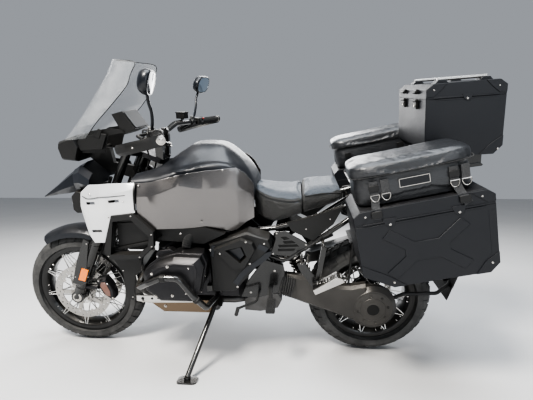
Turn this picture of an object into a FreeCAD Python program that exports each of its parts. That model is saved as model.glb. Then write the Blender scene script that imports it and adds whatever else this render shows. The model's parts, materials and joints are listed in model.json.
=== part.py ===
# Adventure motorcycle, parked on its side stand.
# Every piece is drawn on the upright machine: x forward from the rear axle, y to the left,
# z up from the ground line.  The whole machine is then leaned over on to its stand.
import FreeCAD, Part
import Sketcher
import math
import os
from types import SimpleNamespace

# Driving sizes in millimetres and degrees
SIZES = (
    ("wheelbase", 1534), ("trail", 118.8), ("rake_deg", 26.2), ("lean_deg", 12.87),
    ("fork_deg", 25.5), ("fork_half", 105), ("fork_ahead", 6),
    ("front_tyre_r", 325), ("front_tyre_half", 60), ("front_crown_r", 60),
    ("front_rim_r", 255), ("front_rim_half", 44),
    ("rear_tyre_r", 318), ("rear_tyre_half", 85), ("rear_crown_r", 85),
    ("rear_rim_r", 229), ("rear_rim_half", 64),
    ("rim_wall", 9), ("spoke_r", 2.6), ("spoke_pairs", 10), ("hub_half", 46),
    ("front_disc_r", 155), ("rear_disc_r", 138), ("disc_thick", 5), ("disc_hole_r", 4.5),
    ("front_disc_y", 70), ("rear_disc_y", 66),
    ("slider_r", 27), ("slider_long", 440), ("fork_tube_r", 20.5), ("yoke_thick", 24),
    ("bar_end_y", 478), ("bar_z", 1200), ("bar_r", 11), ("grip_r", 17),
    ("grip_long", 118), ("guard_wall", 4),
    ("frame_tube_r", 16), ("rack_tube_r", 8), ("guard_bar_r", 14),
    ("engine_half", 150), ("cylinder_reach", 378),
    ("panel_wall", 4), ("screen_wall", 4), ("gap", 0.3),
    ("case_long", 497), ("case_tall", 265), ("left_case_deep", 262),
    ("right_case_deep", 215), ("case_wall", 3), ("case_pitch_deg", 11.7),
    ("case_lid_tall", 58), ("case_corner", 34), ("case_outer_y", 486),
    ("top_case_half", 208), ("top_case_long", 308), ("top_case_tall", 235),
    ("top_case_lid_tall", 60), ("top_case_pitch_deg", 3.5),
    ("bag_tall", 168), ("stand_r", 12), ("stand_foot_thick", 8),
    ("plate_wide", 200), ("plate_tall", 260), ("plate_hole_pitch", 150), ("plate_hole_r", 3),
)

doc = FreeCAD.newDocument("adventure_motorcycle")
sheet = doc.addObject("Spreadsheet::Sheet", "Sizes")
for row, (alias, value) in enumerate(SIZES, 1):
    sheet.set(f"A{row}", alias)
    sheet.set(f"B{row}", str(value))
    sheet.setAlias(f"B{row}", alias)
doc.recompute()
d = SimpleNamespace(**{alias: float(sheet.get(alias)) for alias, value in SIZES})

Y_AXIS = FreeCAD.Vector(0, 1, 0)
ORIGIN = FreeCAD.Vector(0, 0, 0)
nodes = {}
shapes = {}


# Points, outlines and solids

def pt(x, y, z):
    return FreeCAD.Vector(x, y, z)


def wire(points):
    return Part.makePolygon(list(points) + [points[0]])


def prism(outline, low, high):
    """A plate with an outline of (x, z) points, from y = low to y = high."""
    face = Part.Face(wire([pt(x, low, z) for x, z in outline]))
    return face.extrude(pt(0, high - low, 0))


def scaled(outline, share):
    """The outline drawn in or out about its middle."""
    mid_x = sum(x for x, z in outline) / len(outline)
    mid_z = sum(z for x, z in outline) / len(outline)
    return [(mid_x + (x - mid_x) * share, mid_z + (z - mid_z) * share) for x, z in outline]


def cast(outline, levels):
    """A casting with draught: levels are (y, share of the outline)."""
    sections = [wire([pt(x, y, z) for x, z in scaled(outline, share)]) for y, share in levels]
    return Part.makeLoft(sections, True, True)


def across(rows):
    """A body lofted along x: rows are (x, half section as (y, z) from top to bottom)."""
    sections = []
    for x, half in rows:
        left = [pt(x, y, z) for y, z in half]
        right = [pt(x, -y, z) for y, z in reversed(half)]
        sections.append(wire(left + right))
    return Part.makeLoft(sections, True, True)


def skin(rows, wall):
    """A moulded side panel: rows are (x, outer face as (y, z) from top to bottom)."""
    sections = []
    for x, face in rows:
        outer = [pt(x, y, z) for y, z in face]
        inner = [pt(x, y - wall, z) for y, z in reversed(face)]
        sections.append(wire(outer + inner))
    return Part.makeLoft(sections, True, True)


def mirrored(shape):
    return shape.mirror(ORIGIN, Y_AXIS)


def both(*shapes):
    """The same pieces on the left and on the right."""
    sides = [side for shape in shapes for side in (shape, mirrored(shape))]
    return Part.makeCompound(sides)


def rod(start, end, radius):
    along = end - start
    return Part.makeCylinder(radius, along.Length, start, along)


def tube(points, radius, bend):
    """A bent tube: straight runs through the points, joined by arcs of the radius bend."""
    corners = [pt(*point) for point in points]
    pieces = []
    last = corners[0]
    for before, corner, after in zip(corners, corners[1:], corners[2:]):
        back = (before - corner).normalize()
        ahead = (after - corner).normalize()
        half_turn = back.getAngle(ahead) / 2
        reach = min(bend / math.tan(half_turn), 0.45 * (before - corner).Length,
                    0.45 * (after - corner).Length)
        arc_radius = max(reach * math.tan(half_turn), 1.02 * radius)
        reach = arc_radius / math.tan(half_turn)
        enter = corner + back * reach
        centre = corner + (back + ahead).normalize() * (arc_radius / math.sin(half_turn))
        pieces.append(rod(last, enter, radius))
        disc = Part.Face(Part.Wire(Part.makeCircle(radius, enter, back)))
        turn_axis = ahead.cross(back)
        swept = 180 - math.degrees(2 * half_turn)
        pieces.append(disc.revolve(centre, turn_axis, swept))
        last = corner + ahead * reach
    pieces.append(rod(last, corners[-1], radius))
    return pieces[0].multiFuse(pieces[1:]).removeSplitter()


def turned(profile, centre):
    """A ring turned about a wheel's axle: profile is (y, radius)."""
    face = Part.Face(wire([pt(0, y, r) for y, r in profile]))
    shape = face.revolve(ORIGIN, Y_AXIS, 360)
    shape.translate(centre)
    return shape


def solids(shape):
    return Part.makeCompound(shape.Solids)


def cut_round(shape, *others):
    """The piece, open where the others pass through it."""
    for other in others:
        shape = shape.cut(other)
    return solids(shape)


def joined(first, *others):
    """One piece welded together from several."""
    return solids(first.multiFuse(list(others)).removeSplitter())


def add(name, shape):
    """A named sub-part with its shape on the upright machine."""
    shapes[name] = shape


def origin_plane(body, role):
    return next(item for item in body.Origin.OriginFeatures if item.Role == role)


def sketch_on(body, role, name):
    sketch = body.newObject("Sketcher::SketchObject", name)
    sketch.AttachmentSupport = (origin_plane(body, role), [""])
    sketch.MapMode = "FlatFace"
    return sketch


def draw_outline(sketch, corners):
    """A closed outline whose corners are (cell, share, cell, share): each place is a cell
    of the sheet times its share."""
    def place(cell, share):
        return share * getattr(d, cell)
    points = [(place(a, ka), place(b, kb)) for a, ka, b, kb in corners]
    count = len(points)
    for index, point in enumerate(points):
        after = points[(index + 1) % count]
        start = FreeCAD.Vector(point[0], point[1], 0)
        end = FreeCAD.Vector(after[0], after[1], 0)
        sketch.addGeometry(Part.LineSegment(start, end), False)
    for index in range(count):
        sketch.addConstraint(Sketcher.Constraint("Coincident", index, 2, (index + 1) % count, 1))
    for index, (a, ka, b, kb) in enumerate(corners):
        for kind, cell, share in (("DistanceX", a, ka), ("DistanceY", b, kb)):
            value = share * getattr(d, cell)
            which = sketch.addConstraint(Sketcher.Constraint(kind, index, 1, value))
            sketch.setExpression(f"Constraints[{which}]", f"{share} * Sizes.{cell}")


def draw_circle(sketch, cell, centre_x=0.0, centre_y=0.0):
    index = sketch.addGeometry(
        Part.Circle(FreeCAD.Vector(centre_x, centre_y, 0), FreeCAD.Vector(0, 0, 1),
                    getattr(d, cell)), False)
    which = sketch.addConstraint(Sketcher.Constraint("Radius", index, getattr(d, cell)))
    sketch.setExpression(f"Constraints[{which}]", f"Sizes.{cell}")
    sketch.addConstraint(Sketcher.Constraint("DistanceX", index, 3, centre_x))
    sketch.addConstraint(Sketcher.Constraint("DistanceY", index, 3, centre_y))


def new_body(name):
    body = doc.addObject("PartDesign::Body", name)
    body.Label = name
    nodes[name] = body
    return body


# Wheels and steering axis

lean = math.radians(d.lean_deg)
rake = math.radians(d.rake_deg)
fork = math.radians(d.fork_deg)
front_axle_z = d.front_tyre_r + d.front_crown_r * (1 / math.cos(lean) - 1)
rear_axle_z = d.rear_tyre_r + d.rear_crown_r * (1 / math.cos(lean) - 1)
front_axle = pt(d.wheelbase, 0, front_axle_z)
rear_axle = pt(0, 0, rear_axle_z)
axis_up = pt(-math.sin(rake), 0, math.cos(rake))
fork_up = pt(-math.sin(fork), 0, math.cos(fork))


def on_axis(z):
    """The point of the steering axis at the height z."""
    return pt(d.wheelbase + d.trail - z * math.tan(rake), 0, z)


def square_to_axis(z):
    """A plane square to the steering axis, local x forward, local z up the axis."""
    return FreeCAD.Placement(on_axis(z), FreeCAD.Rotation(Y_AXIS, -d.rake_deg))


def on_fork(height, side=1):
    """The middle of a fork leg, that far up it from the axle."""
    foot = pt(d.wheelbase + d.fork_ahead, side * d.fork_half, front_axle_z)
    return foot + fork_up * height


def fork_height_at(z_on_axis):
    """How far up a leg the plane square to the steering axis at that height meets it."""
    base = on_fork(0)
    base.y = 0
    return (on_axis(z_on_axis) - base).dot(axis_up) / fork_up.dot(axis_up)


def tyre_profile(half, crown_r, outer, rim, rim_half):
    """Tread arc, side walls and bead of a tyre as a face over (y, radius)."""
    shoulder = 0.93 * half
    shoulder_r = outer - crown_r + math.sqrt(crown_r ** 2 - shoulder ** 2)
    seat_y = rim_half - 5 - d.gap
    seat_r = rim + 4
    toe_y = rim_half - 20
    wall_r = (shoulder_r + seat_r) / 2
    left, right = pt(0, -shoulder, shoulder_r), pt(0, shoulder, shoulder_r)
    low = (pt(0, seat_y, seat_r), pt(0, seat_y, rim - 8 + d.gap), pt(0, toe_y, rim - 12 + d.gap),
           pt(0, -toe_y, rim - 12 + d.gap), pt(0, -seat_y, rim - 8 + d.gap),
           pt(0, -seat_y, seat_r))
    edges = [
        Part.Arc(left, pt(0, 0, outer), right).toShape(),
        Part.Arc(right, pt(0, half, wall_r), low[0]).toShape(),
        *[Part.makeLine(start, end) for start, end in zip(low, low[1:])],
        Part.Arc(low[-1], pt(0, -half, wall_r), left).toShape(),
    ]
    return Part.Face(Part.Wire(edges))


def tyre(name, half, crown_r, outer, rim, rim_half, centre):
    shape = tyre_profile(half, crown_r, outer, rim, rim_half).revolve(ORIGIN, Y_AXIS, 360)
    shape.translate(centre)
    add(name, shape)


def spoked_wheel(name, rim, rim_half, hub_r, hub_half, bore_r, centre, seat_low, seat_high):
    """A rim with raised edges, a hub with two flanges and crossed tangent spokes."""
    wall = d.rim_wall
    well = rim - 26
    section = [(-rim_half, rim), (-rim_half, rim - 22), (-rim_half + 16, rim - 36),
               (-rim_half + 20, well - 14), (rim_half - 20, well - 14),
               (rim_half - 16, rim - 36), (rim_half, rim - 22), (rim_half, rim),
               (rim_half - 5, rim), (rim_half - 5, rim - 8), (rim_half - 20, rim - 12),
               (rim_half - 24, well - 14 + wall), (24 - rim_half, well - 14 + wall),
               (20 - rim_half, rim - 12), (5 - rim_half, rim - 8), (5 - rim_half, rim)]
    rim_ring = turned(section, centre)
    flange = hub_r + 14
    seat_r = flange - 2
    hub_section = [(seat_low, bore_r), (seat_low, seat_r), (-hub_half, seat_r),
                   (-hub_half, flange), (8 - hub_half, flange), (14 - hub_half, hub_r),
                   (hub_half - 14, hub_r), (hub_half - 8, flange), (hub_half, flange),
                   (hub_half, seat_r), (seat_high, seat_r), (seat_high, bore_r)]
    hub = turned(hub_section, centre)
    spokes = []
    pairs = int(d.spoke_pairs)
    sweep = math.radians(52)
    for side in (-1, 1):
        for pair in range(pairs):
            for lean_way in (-1, 1):
                turn = 2 * math.pi * (pair + 0.25 * (side > 0)) / pairs
                foot_turn = turn - lean_way * sweep / 2
                tip_turn = turn + lean_way * (sweep / 2 - math.pi / pairs / 2)
                foot = pt((flange - 5) * math.cos(foot_turn), side * (hub_half - 4),
                          (flange - 5) * math.sin(foot_turn))
                tip = pt((rim - 26) * math.cos(tip_turn), side * (rim_half - 8),
                         (rim - 26) * math.sin(tip_turn))
                spokes.append(rod(foot + centre, tip + centre, d.spoke_r))
    add(name, joined(rim_ring, hub, *spokes))


def brake_disc(name, cell, inner_r, offsets, centre, carrier_r, hub_r):
    """Drilled rings with arms to the hub, one at each y in offsets."""
    rings = []
    outer = getattr(d, cell)
    for y in offsets:
        start = centre + pt(0, y - d.disc_thick / 2, 0)
        ring = Part.makeCylinder(outer, d.disc_thick, start, Y_AXIS)
        ring = ring.cut(Part.makeCylinder(inner_r, d.disc_thick, start, Y_AXIS))
        holes = []
        for row, reach in enumerate((0.30, 0.70)):
            for step in range(20):
                turn = 2 * math.pi * (step + row / 2) / 20
                radius = inner_r + (outer - inner_r) * reach
                spot = start + pt(radius * math.cos(turn), 0, radius * math.sin(turn))
                holes.append(Part.makeCylinder(d.disc_hole_r, d.disc_thick, spot, Y_AXIS))
        ring = ring.cut(Part.makeCompound(holes))
        arms = []
        for step in range(5):
            turn = 2 * math.pi * step / 5
            arm = Part.makeBox(inner_r + 6 - hub_r, d.disc_thick, 22, pt(hub_r, 0, -11))
            arm.rotate(ORIGIN, Y_AXIS, math.degrees(turn))
            arm.translate(start)
            arms.append(arm)
        boss = Part.makeCylinder(carrier_r, d.disc_thick, start, Y_AXIS)
        boss = boss.cut(Part.makeCylinder(hub_r - 6, d.disc_thick, start, Y_AXIS))
        rings.append(joined(ring, boss, *arms))
    add(name, Part.makeCompound(rings))


tyre("front_tyre", d.front_tyre_half, d.front_crown_r, d.front_tyre_r, d.front_rim_r,
     d.front_rim_half, front_axle)
tyre("rear_tyre", d.rear_tyre_half, d.rear_crown_r, d.rear_tyre_r, d.rear_rim_r,
     d.rear_rim_half, rear_axle)
front_seat = d.front_disc_y - d.disc_thick / 2
rear_seat_y = d.disc_thick / 2 - d.rear_disc_y
drive_face = 98
spoked_wheel("front_wheel", d.front_rim_r, d.front_rim_half, 32, d.hub_half, 11, front_axle,
             -front_seat, front_seat)
spoked_wheel("rear_wheel", d.rear_rim_r, d.rear_rim_half, 55, d.hub_half, 25, rear_axle,
             rear_seat_y, drive_face - 1)
brake_disc("front_discs", "front_disc_r", 118, (-d.front_disc_y, d.front_disc_y),
           front_axle, 50, 42)
brake_disc("rear_disc", "rear_disc_r", 104, (-d.rear_disc_y,), rear_axle, 72, 58)

# Front fork: sliders, tubes, bridges

top_height = fork_height_at(1085)


def fork_leg(side):
    slider = rod(on_fork(-8, side), on_fork(d.slider_long, side), d.slider_r)
    upper = rod(on_fork(d.slider_long, side), on_fork(top_height + 22, side), d.fork_tube_r)
    lug = Part.makeCylinder(33, 46, pt(d.wheelbase, side * 82, front_axle_z),
                            pt(0, side, 0))
    return joined(slider, upper, lug)


axle_bar = rod(front_axle + pt(0, -82, 0), front_axle + pt(0, 82, 0), 10)
legs = joined(fork_leg(1), axle_bar, fork_leg(-1))
SHIELD = ((1445, 668), (1416, 650), (1440, 545), (1464, 417), (1500, 392), (1546, 412), (1500, 545))
shield_y = d.fork_half + d.slider_r - 4
shields = both(cast(SHIELD, ((shield_y, 1.0), (shield_y + 7, 0.9))))
add("fork_legs", joined(legs, *shields.Solids))

YOKE = ((40, 0), (44, 60), (78, 92), (78, 122), (56, 138), (20, 132), (-10, 78), (-96, 62),
        (-108, 44))


def yoke_plate(half_outline, z, thick):
    outline = list(half_outline) + [(a, -b) for a, b in reversed(half_outline) if b]
    plate = Part.Face(wire([pt(a, b, -thick / 2) for a, b in outline]))
    plate = plate.extrude(pt(0, 0, thick))
    plate.Placement = square_to_axis(z)
    return plate


def bore_for_legs(shape, radius):
    for side in (-1, 1):
        shape = shape.cut(rod(on_fork(d.slider_long - 60, side), on_fork(top_height + 80, side),
                              radius))
    return solids(shape)


upper_yoke = yoke_plate(YOKE, 1085, d.yoke_thick)
LOWER_YOKE_Z = 716
LOWER_YOKE = ((40, 0), (46, 62), (76, 92), (76, 128), (50, 142), (14, 134), (-4, 70), (-22, 30))
lower_yoke = yoke_plate(LOWER_YOKE, LOWER_YOKE_Z, d.yoke_thick)
ball_seat = on_axis(LOWER_YOKE_Z)
lower_yoke = lower_yoke.cut(rod(ball_seat + axis_up * 4, ball_seat - axis_up * 60, 10))
bridges = Part.makeCompound([bore_for_legs(upper_yoke, d.fork_tube_r).Solids[0],
                             bore_for_legs(lower_yoke, d.slider_r).Solids[0]])
add("fork_bridges", bridges)

# Handlebar and what is on it

clamp_x, clamp_z = 1035, 1172
BAR = ((868, -d.bar_end_y, d.bar_z), (1014, -170, d.bar_z), (clamp_x, -78, clamp_z),
       (clamp_x, 78, clamp_z), (1014, 170, d.bar_z), (868, d.bar_end_y, d.bar_z))
bar_tube = tube(BAR, d.bar_r, 60)
yoke_top = on_axis(1085) + axis_up * (d.yoke_thick / 2)


def over_yoke(x):
    """Height of the upper bridge's top face at that x."""
    return yoke_top.z + (x - yoke_top.x) * math.tan(rake)


RISER = ((1018, over_yoke(1018)), (1052, over_yoke(1052)), (1058, clamp_z - 8), (1056, clamp_z + 12),
         (1044, clamp_z + 20), (1026, clamp_z + 20), (1014, clamp_z + 12), (1012, clamp_z - 8))
risers = both(prism(RISER, 32, 58))
add("handlebar", joined(bar_tube, *risers.Solids))

bar_outer = pt(868, d.bar_end_y, d.bar_z)
bar_inner = pt(1014, 170, d.bar_z)
bar_way = (bar_outer - bar_inner).normalize()


def on_grip(distance):
    """A point of the left bar, that far in from its end."""
    return bar_outer - bar_way * distance


grip = rod(on_grip(6), on_grip(6 + d.grip_long), d.grip_r).cut(
    rod(on_grip(-5), on_grip(200), d.bar_r))
flange = rod(on_grip(6 + d.grip_long), on_grip(12 + d.grip_long), d.grip_r + 6).cut(
    rod(on_grip(-5), on_grip(200), d.bar_r))
add("grips", both(grip.fuse(flange)))

switch_mid = on_grip(160)
switch = Part.makeBox(54, 44, 40, pt(-24, -22, -20))
switch = switch.makeFillet(7, switch.Edges)
switch.rotate(ORIGIN, pt(0, 0, 1), 25)
switch.translate(switch_mid)
lever_root = on_grip(168) + pt(34, 0, 4)
lever = tube(((lever_root.x, lever_root.y, lever_root.z), (1000, 372, d.bar_z + 2),
              (948, 452, d.bar_z), (936, 470, d.bar_z)), 6, 30)
perch = rod(on_grip(168), lever_root, 13)
bar_bore = rod(on_grip(-5), on_grip(300), d.bar_r)
controls = both(joined(switch, perch, lever).cut(bar_bore))
add("bar_controls", controls)

GUARD = ((866, 502), (905, 516), (975, 512), (1040, 478), (1072, 420), (1066, 340), (1030, 292))


def offset_path(points, wall):
    """The same path moved in by the wall, towards the rider's hand."""
    inner = []
    for index, (x, y) in enumerate(points):
        before = points[max(index - 1, 0)]
        after = points[min(index + 1, len(points) - 1)]
        run_x, run_y = after[0] - before[0], after[1] - before[1]
        length = math.hypot(run_x, run_y)
        inner.append((x + run_y / length * wall, y - run_x / length * wall))
    return inner


def hand_guard():
    sections = []
    for z, reach in ((d.bar_z - 72, -10), (d.bar_z - 20, 0), (d.bar_z + 22, -6)):
        outer = [(x + reach, y + reach / 2) for x, y in GUARD]
        inner = offset_path(outer, d.guard_wall)
        sections.append(wire([pt(x, y, z) for x, y in outer + inner[::-1]]))
    shell = Part.makeLoft(sections, True, True)
    end_cap = rod(on_grip(2), on_grip(-26), 17)
    brace = rod(on_grip(215), pt(1028, 300, d.bar_z - 10), 8)
    collar = rod(on_grip(205), on_grip(226), 18)
    return joined(shell, end_cap, brace, collar).cut(rod(on_grip(0), on_grip(300), d.bar_r))


add("hand_guards", both(hand_guard()))

MIRROR = ((-78, -20), (-62, -48), (48, -50), (76, -24), (80, 22), (58, 48), (-58, 46), (-80, 14))


def mirror_head(middle):
    sections = []
    for depth, share in ((-16, 0.93), (-6, 1.0), (14, 0.9), (30, 0.5)):
        sections.append(wire([pt(depth, y * share, z * share) for y, z in MIRROR]))
    head = Part.makeLoft(sections, True, True)
    head.rotate(ORIGIN, Y_AXIS, -16)
    head.rotate(ORIGIN, pt(0, 0, 1), 10)
    head.translate(middle)
    return head


mirror_mid = pt(922, 405, 1402)
stalk = tube(((962, 318, d.bar_z + 8), (946, 330, 1268), (946, 352, 1318), (932, 392, 1376)),
             6.5, 30)
stalk_base = rod(pt(966, 312, d.bar_z - 2), pt(960, 316, d.bar_z + 26), 13)
mirror = joined(mirror_head(mirror_mid), stalk, stalk_base)
mirror = mirror.cut(rod(on_grip(-5), on_grip(300), d.bar_r))
mirrors = both(mirror)

# Front mudguard over the wheel, carried by the lower bridge and the sliders
FENDER = ((-74, 318), (-70, 344), (-52, 360), (-28, 366), (0, 369), (28, 366), (52, 360),
          (70, 344), (74, 318), (71, 318), (67, 343), (50, 357), (27, 363), (0, 366),
          (-27, 363), (-50, 357), (-67, 343), (-71, 318))
face = Part.Face(wire([pt(0, y, r) for y, r in FENDER]))
fender = face.revolve(ORIGIN, Y_AXIS, 62)
fender.rotate(ORIGIN, Y_AXIS, -33)
fender.translate(front_axle)
fender_lugs = []
for side in (-1, 1):
    lug_end = on_fork(322, side)
    lug_root = pt(lug_end.x, side * 71, lug_end.z)
    fender_lugs.append(rod(lug_root, lug_end, 14))
add("front_fender", joined(fender, *fender_lugs))

CALIPER = ((1343, 306), (1366, 300), (1404, 330), (1436, 400), (1428, 424), (1380, 430),
           (1352, 390), (1340, 340))
caliper = cast(CALIPER, ((d.front_disc_y - 26, 0.88), (d.front_disc_y - 12, 1.0),
                         (d.front_disc_y + 20, 1.0), (d.front_disc_y + 33, 0.8)))
disc_slot = Part.makeCylinder(d.front_disc_r + 4, d.disc_thick + 6,
                              front_axle + pt(0, d.front_disc_y - d.disc_thick / 2 - 3, 0),
                              Y_AXIS)
caliper = caliper.cut(disc_slot)
slider_room = rod(on_fork(-20), on_fork(300), d.slider_r)
caliper_foot = rod(pt(1420, 103, 380), on_fork(60), 13)
caliper = joined(caliper, caliper_foot).cut(slider_room)
wheel_room = turned([(-60, 0), (-60, 235), (60, 235), (60, 0)], front_axle)
add("brake_calipers", both(solids(caliper.cut(wheel_room))))

# Engine: plain block inside, cylinders and heads out in the air
CRANKCASE = ((640, 352), (632, 560), (700, 664), (960, 694), (1062, 640), (1086, 480),
             (1030, 352))
engine = cast(CRANKCASE, ((-d.engine_half, 0.9), (-d.engine_half + 30, 1.0),
                          (d.engine_half - 30, 1.0), (d.engine_half, 0.9)))
add("engine_block", engine)

BARREL = ((822, 486), (818, 604), (858, 640), (988, 634), (1036, 590), (1036, 500), (980, 462))
COVER = ((1064, 585), (1050, 605), (992, 648), (907, 677), (789, 673), (772, 628), (802, 497),
         (842, 448), (990, 448), (1060, 505))


def cylinder():
    barrel = cast(BARREL, ((d.engine_half, 0.97), (d.engine_half + 70, 0.97)))
    fins = [cast(BARREL, ((d.engine_half + 8 + 15 * step, 1.1),
                          (d.engine_half + 14 + 15 * step, 1.1))) for step in range(4)]
    head_root = d.engine_half + 70
    head = cast(COVER, ((head_root, 0.92), (head_root + 62, 1.0),
                        (d.cylinder_reach - 66, 1.0)))
    cover = cast(COVER, ((d.cylinder_reach - 66, 0.96), (d.cylinder_reach - 34, 0.96),
                         (d.cylinder_reach - 10, 0.8), (d.cylinder_reach, 0.6)))
    return joined(barrel, head, cover, *fins)


add("cylinders", both(cylinder()))

BAR_LOOP = ((1064, 146, 604), (1080, 250, 566), (1092, 345, 516), (1012, 398, 572),
            (950, 406, 602), (878, 406, 600), (816, 398, 506), (782, 340, 420), (770, 146, 372))
engine_bars = both(tube(BAR_LOOP, d.guard_bar_r, 40))

PAN = ((1200, 520), (1186, 430), (1150, 340), (1060, 268), (800, 268), (800, 274), (1056, 274), (1144, 344), (1180, 432), (1194, 522))
pan_floor = prism(PAN, -140, 140)
PAN_SIDE = ((1186, 430), (1150, 340), (1060, 268), (800, 268), (820, 338), (1030, 342),
            (1120, 420))
pan_sides = both(prism(PAN_SIDE, 140, 145))
WING = ((1170, 391), (1067, 393), (919, 430), (888, 400), (862, 362), (1110, 352), (1172, 362))
wings = both(cast(WING, ((196, 0.94), (203, 1.0))),
             prism(((1030, 352), (1030, 380), (1090, 380), (1090, 352)), 145, 196))
pan = pan_floor.multiFuse(pan_sides.Solids + wings.Solids)
add("skid_plate", solids(pan))


def header(side):
    return tube(((1046, side * 250, 520), (1118, side * 246, 500), (1140, side * 180, 420),
                 (1090, side * 90, 316), (980, side * 60, 300), (700, side * 60, 300),
                 (640, side * 40, 300)), 20, 40)


headers = Part.makeCompound([header(1), header(-1)])
COLLECTOR = ((640, 268), (640, 330), (600, 352), (470, 366), (448, 330), (470, 284), (560, 262))
collector = prism(COLLECTOR, -120, 110)
link_pipe = tube(((470, -96, 320), (380, -150, 330), (330, -196, 400), (290, -210, 440)), 26, 60)
SILENCER = ((330, 398), (322, 470), (-60, 596), (-128, 560), (-120, 500), (-60, 470))
silencer = cast(SILENCER, ((-262, 0.86), (-244, 1.0), (-186, 1.0), (-170, 0.86)))
exhaust = joined(collector, headers.Solids[0], headers.Solids[1], link_pipe, silencer)

# Frame: head, spars, foot plates and tail


def spar(side):
    return tube(((1142, side * 24, 1004), (1030, side * 120, 860), (880, side * 140, 760),
                 (640, side * 140, 700), (500, side * 132, 560), (468, side * 132, 430)),
                d.frame_tube_r, 60)


head_low, head_high = on_axis(985), on_axis(1085) - axis_up * (d.yoke_thick / 2 + d.gap)
head_tube = rod(head_low, head_high, 34)
pivot_bar = rod(pt(468, -150, 440), pt(468, 150, 440), 20)
main_frame = joined(spar(1), head_tube, spar(-1), pivot_bar)

FOOT_PLATE = ((530, 577), (437, 549), (431, 516), (440, 420), (468, 400), (560, 372),
              (647, 373), (620, 450))
foot_plates = both(prism(FOOT_PLATE, 146, 160))


def tail_rail(side):
    upper = tube(((600, side * 128, 716), (470, side * 140, 735), (300, side * 150, 790),
                  (60, side * 130, 872), (-140, side * 110, 905)), 12, 60)
    lower = tube(((500, side * 136, 590), (430, side * 160, 575), (162, side * 150, 762),
                  (40, side * 130, 850)), 12, 60)
    return upper, lower


cross_rail = rod(pt(60, -130, 866), pt(60, 130, 866), 12)
tail_end = rod(pt(-130, -112, 903), pt(-130, 112, 903), 12)
rails = [rail for side in (1, -1) for rail in tail_rail(side)]
rear_frame = joined(rails[0], cross_rail, tail_end, *rails[1:])

# Front suspension arm and strut, fixed to the frame
eye = on_axis(668)
ARM = tube(((1036, 95, 640), (1150, 84, 662), (1262, 34, 666), (eye.x, 0, eye.z),
            (1262, -34, 666), (1150, -84, 662), (1036, -95, 640)), 12, 24)
arm_hub = rod(eye - axis_up * 14, eye + axis_up * 13, 23)
arm_hub = arm_hub.fuse(rod(eye, ball_seat, 9.4))
arm_mid = rod(pt(1190, -72, 663), pt(1190, 72, 663), 10)
arm = joined(ARM, arm_hub, arm_mid)
strut = joined(rod(pt(1190, 0, 664), pt(1150, 0, 830), 24),
               rod(pt(1150, 0, 830), pt(1108, 0, 960), 16))

# Swing arm with its shaft drive on the left, shock behind the engine
ARM_ROWS = (
    # x, top z, bottom z, inner y, outer y
    (452, 498, 380, 100, 150), (333, 486, 340, 100, 158), (190, 440, 288, 100, 158),
    (110, 438, 258, 100, 160),
)


def box_row(x, top, bottom, inner, outer):
    bevel = 14
    return wire([pt(x, inner, top - bevel), pt(x, inner + bevel, top), pt(x, outer - bevel, top),
                 pt(x, outer, top - bevel), pt(x, outer, bottom + bevel),
                 pt(x, outer - bevel, bottom), pt(x, inner + bevel, bottom),
                 pt(x, inner, bottom + bevel)])


swing = Part.makeLoft([box_row(*row) for row in ARM_ROWS], True, True)
drive = turned([(drive_face, 29), (drive_face, 96), (112, 116), (140, 116), (160, 96), (166, 50), (166, 29)],
               rear_axle)
drive_snout = Part.makeLoft([box_row(112, 438, 258, 100, 160), box_row(40, 452, 246, 104, 158)],
                            True, True)
hub_room = Part.makeCylinder(29, 200, rear_axle, Y_AXIS)
swing_arm = joined(swing, drive, drive_snout).cut(hub_room)
hub_ring = turned([(90, 24), (90, 28.6), (170, 28.6), (170, 24)], rear_axle)
shock = joined(rod(pt(330, 0, 420), pt(420, 0, 590), 30), rod(pt(420, 0, 590), pt(470, 0, 690), 20))
shock_foot = rod(pt(330, 0, 420), pt(330, 102, 420), 16)

# Hugger and number plate holder on the final drive
HUGGER = ((-92, 336), (-80, 340), (80, 340), (92, 336), (92, 333), (78, 336), (-78, 336),
          (-92, 333))

# Seats
RIDER = (
    # x, top z, bottom z, half width
    (575, 932, 792, 92), (530, 918, 768, 138), (478, 906, 760, 164), (400, 900, 786, 178),
    (346, 908, 806, 178),
)
PILLION = ((345.7, 922, 808, 176), (260, 930, 834, 170), (196, 934, 856, 162), (166, 930, 872, 140))


def cushion(rows):
    sections = []
    for x, top, bottom, half in rows:
        sections.append((x, ((0.55 * half, top), (0.86 * half, top - 12), (half, top - 44),
                             (0.94 * half, bottom + 16), (0.80 * half, bottom))))
    return across(sections)


rider_seat = cushion(RIDER)
pillion_seat = cushion(PILLION)

# Tank cover and painted panels
TANK = (
    # x, (y, z) of the crown, the shoulder, the crease, the edge and the floor
    (568, ((50, 950), (100, 946), (130, 938), (158, 920), (150, 890))),
    (600, ((60, 1012), (98, 1008), (140, 990), (172, 960), (160, 880))),
    (650, ((60, 1070), (100, 1058), (150, 1040), (190, 1010), (180, 870))),
    (717, ((60, 1118), (104, 1100), (160, 1064), (204, 1030), (190, 850))),
    (800, ((60, 1127), (110, 1104), (170, 1060), (216, 1026), (200, 840))),
    (861, ((62, 1122), (118, 1098), (176, 1052), (226, 1012), (210, 840))),
    (914, ((80, 1094), (126, 1078), (186, 1042), (236, 1004), (220, 840))),
    (1003, ((80, 1040), (136, 1034), (196, 1020), (244, 980), (228, 850))),
    (1108, ((140, 1010), (150, 1010), (196, 1004), (244, 978), (228, 880))),
)
tank = across(TANK)
steering_room = rod(on_axis(960), on_axis(1300), 178)
head_room = rod(on_axis(880), on_axis(1100), 60)
tank = tank.cut(steering_room).cut(head_room)
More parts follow.
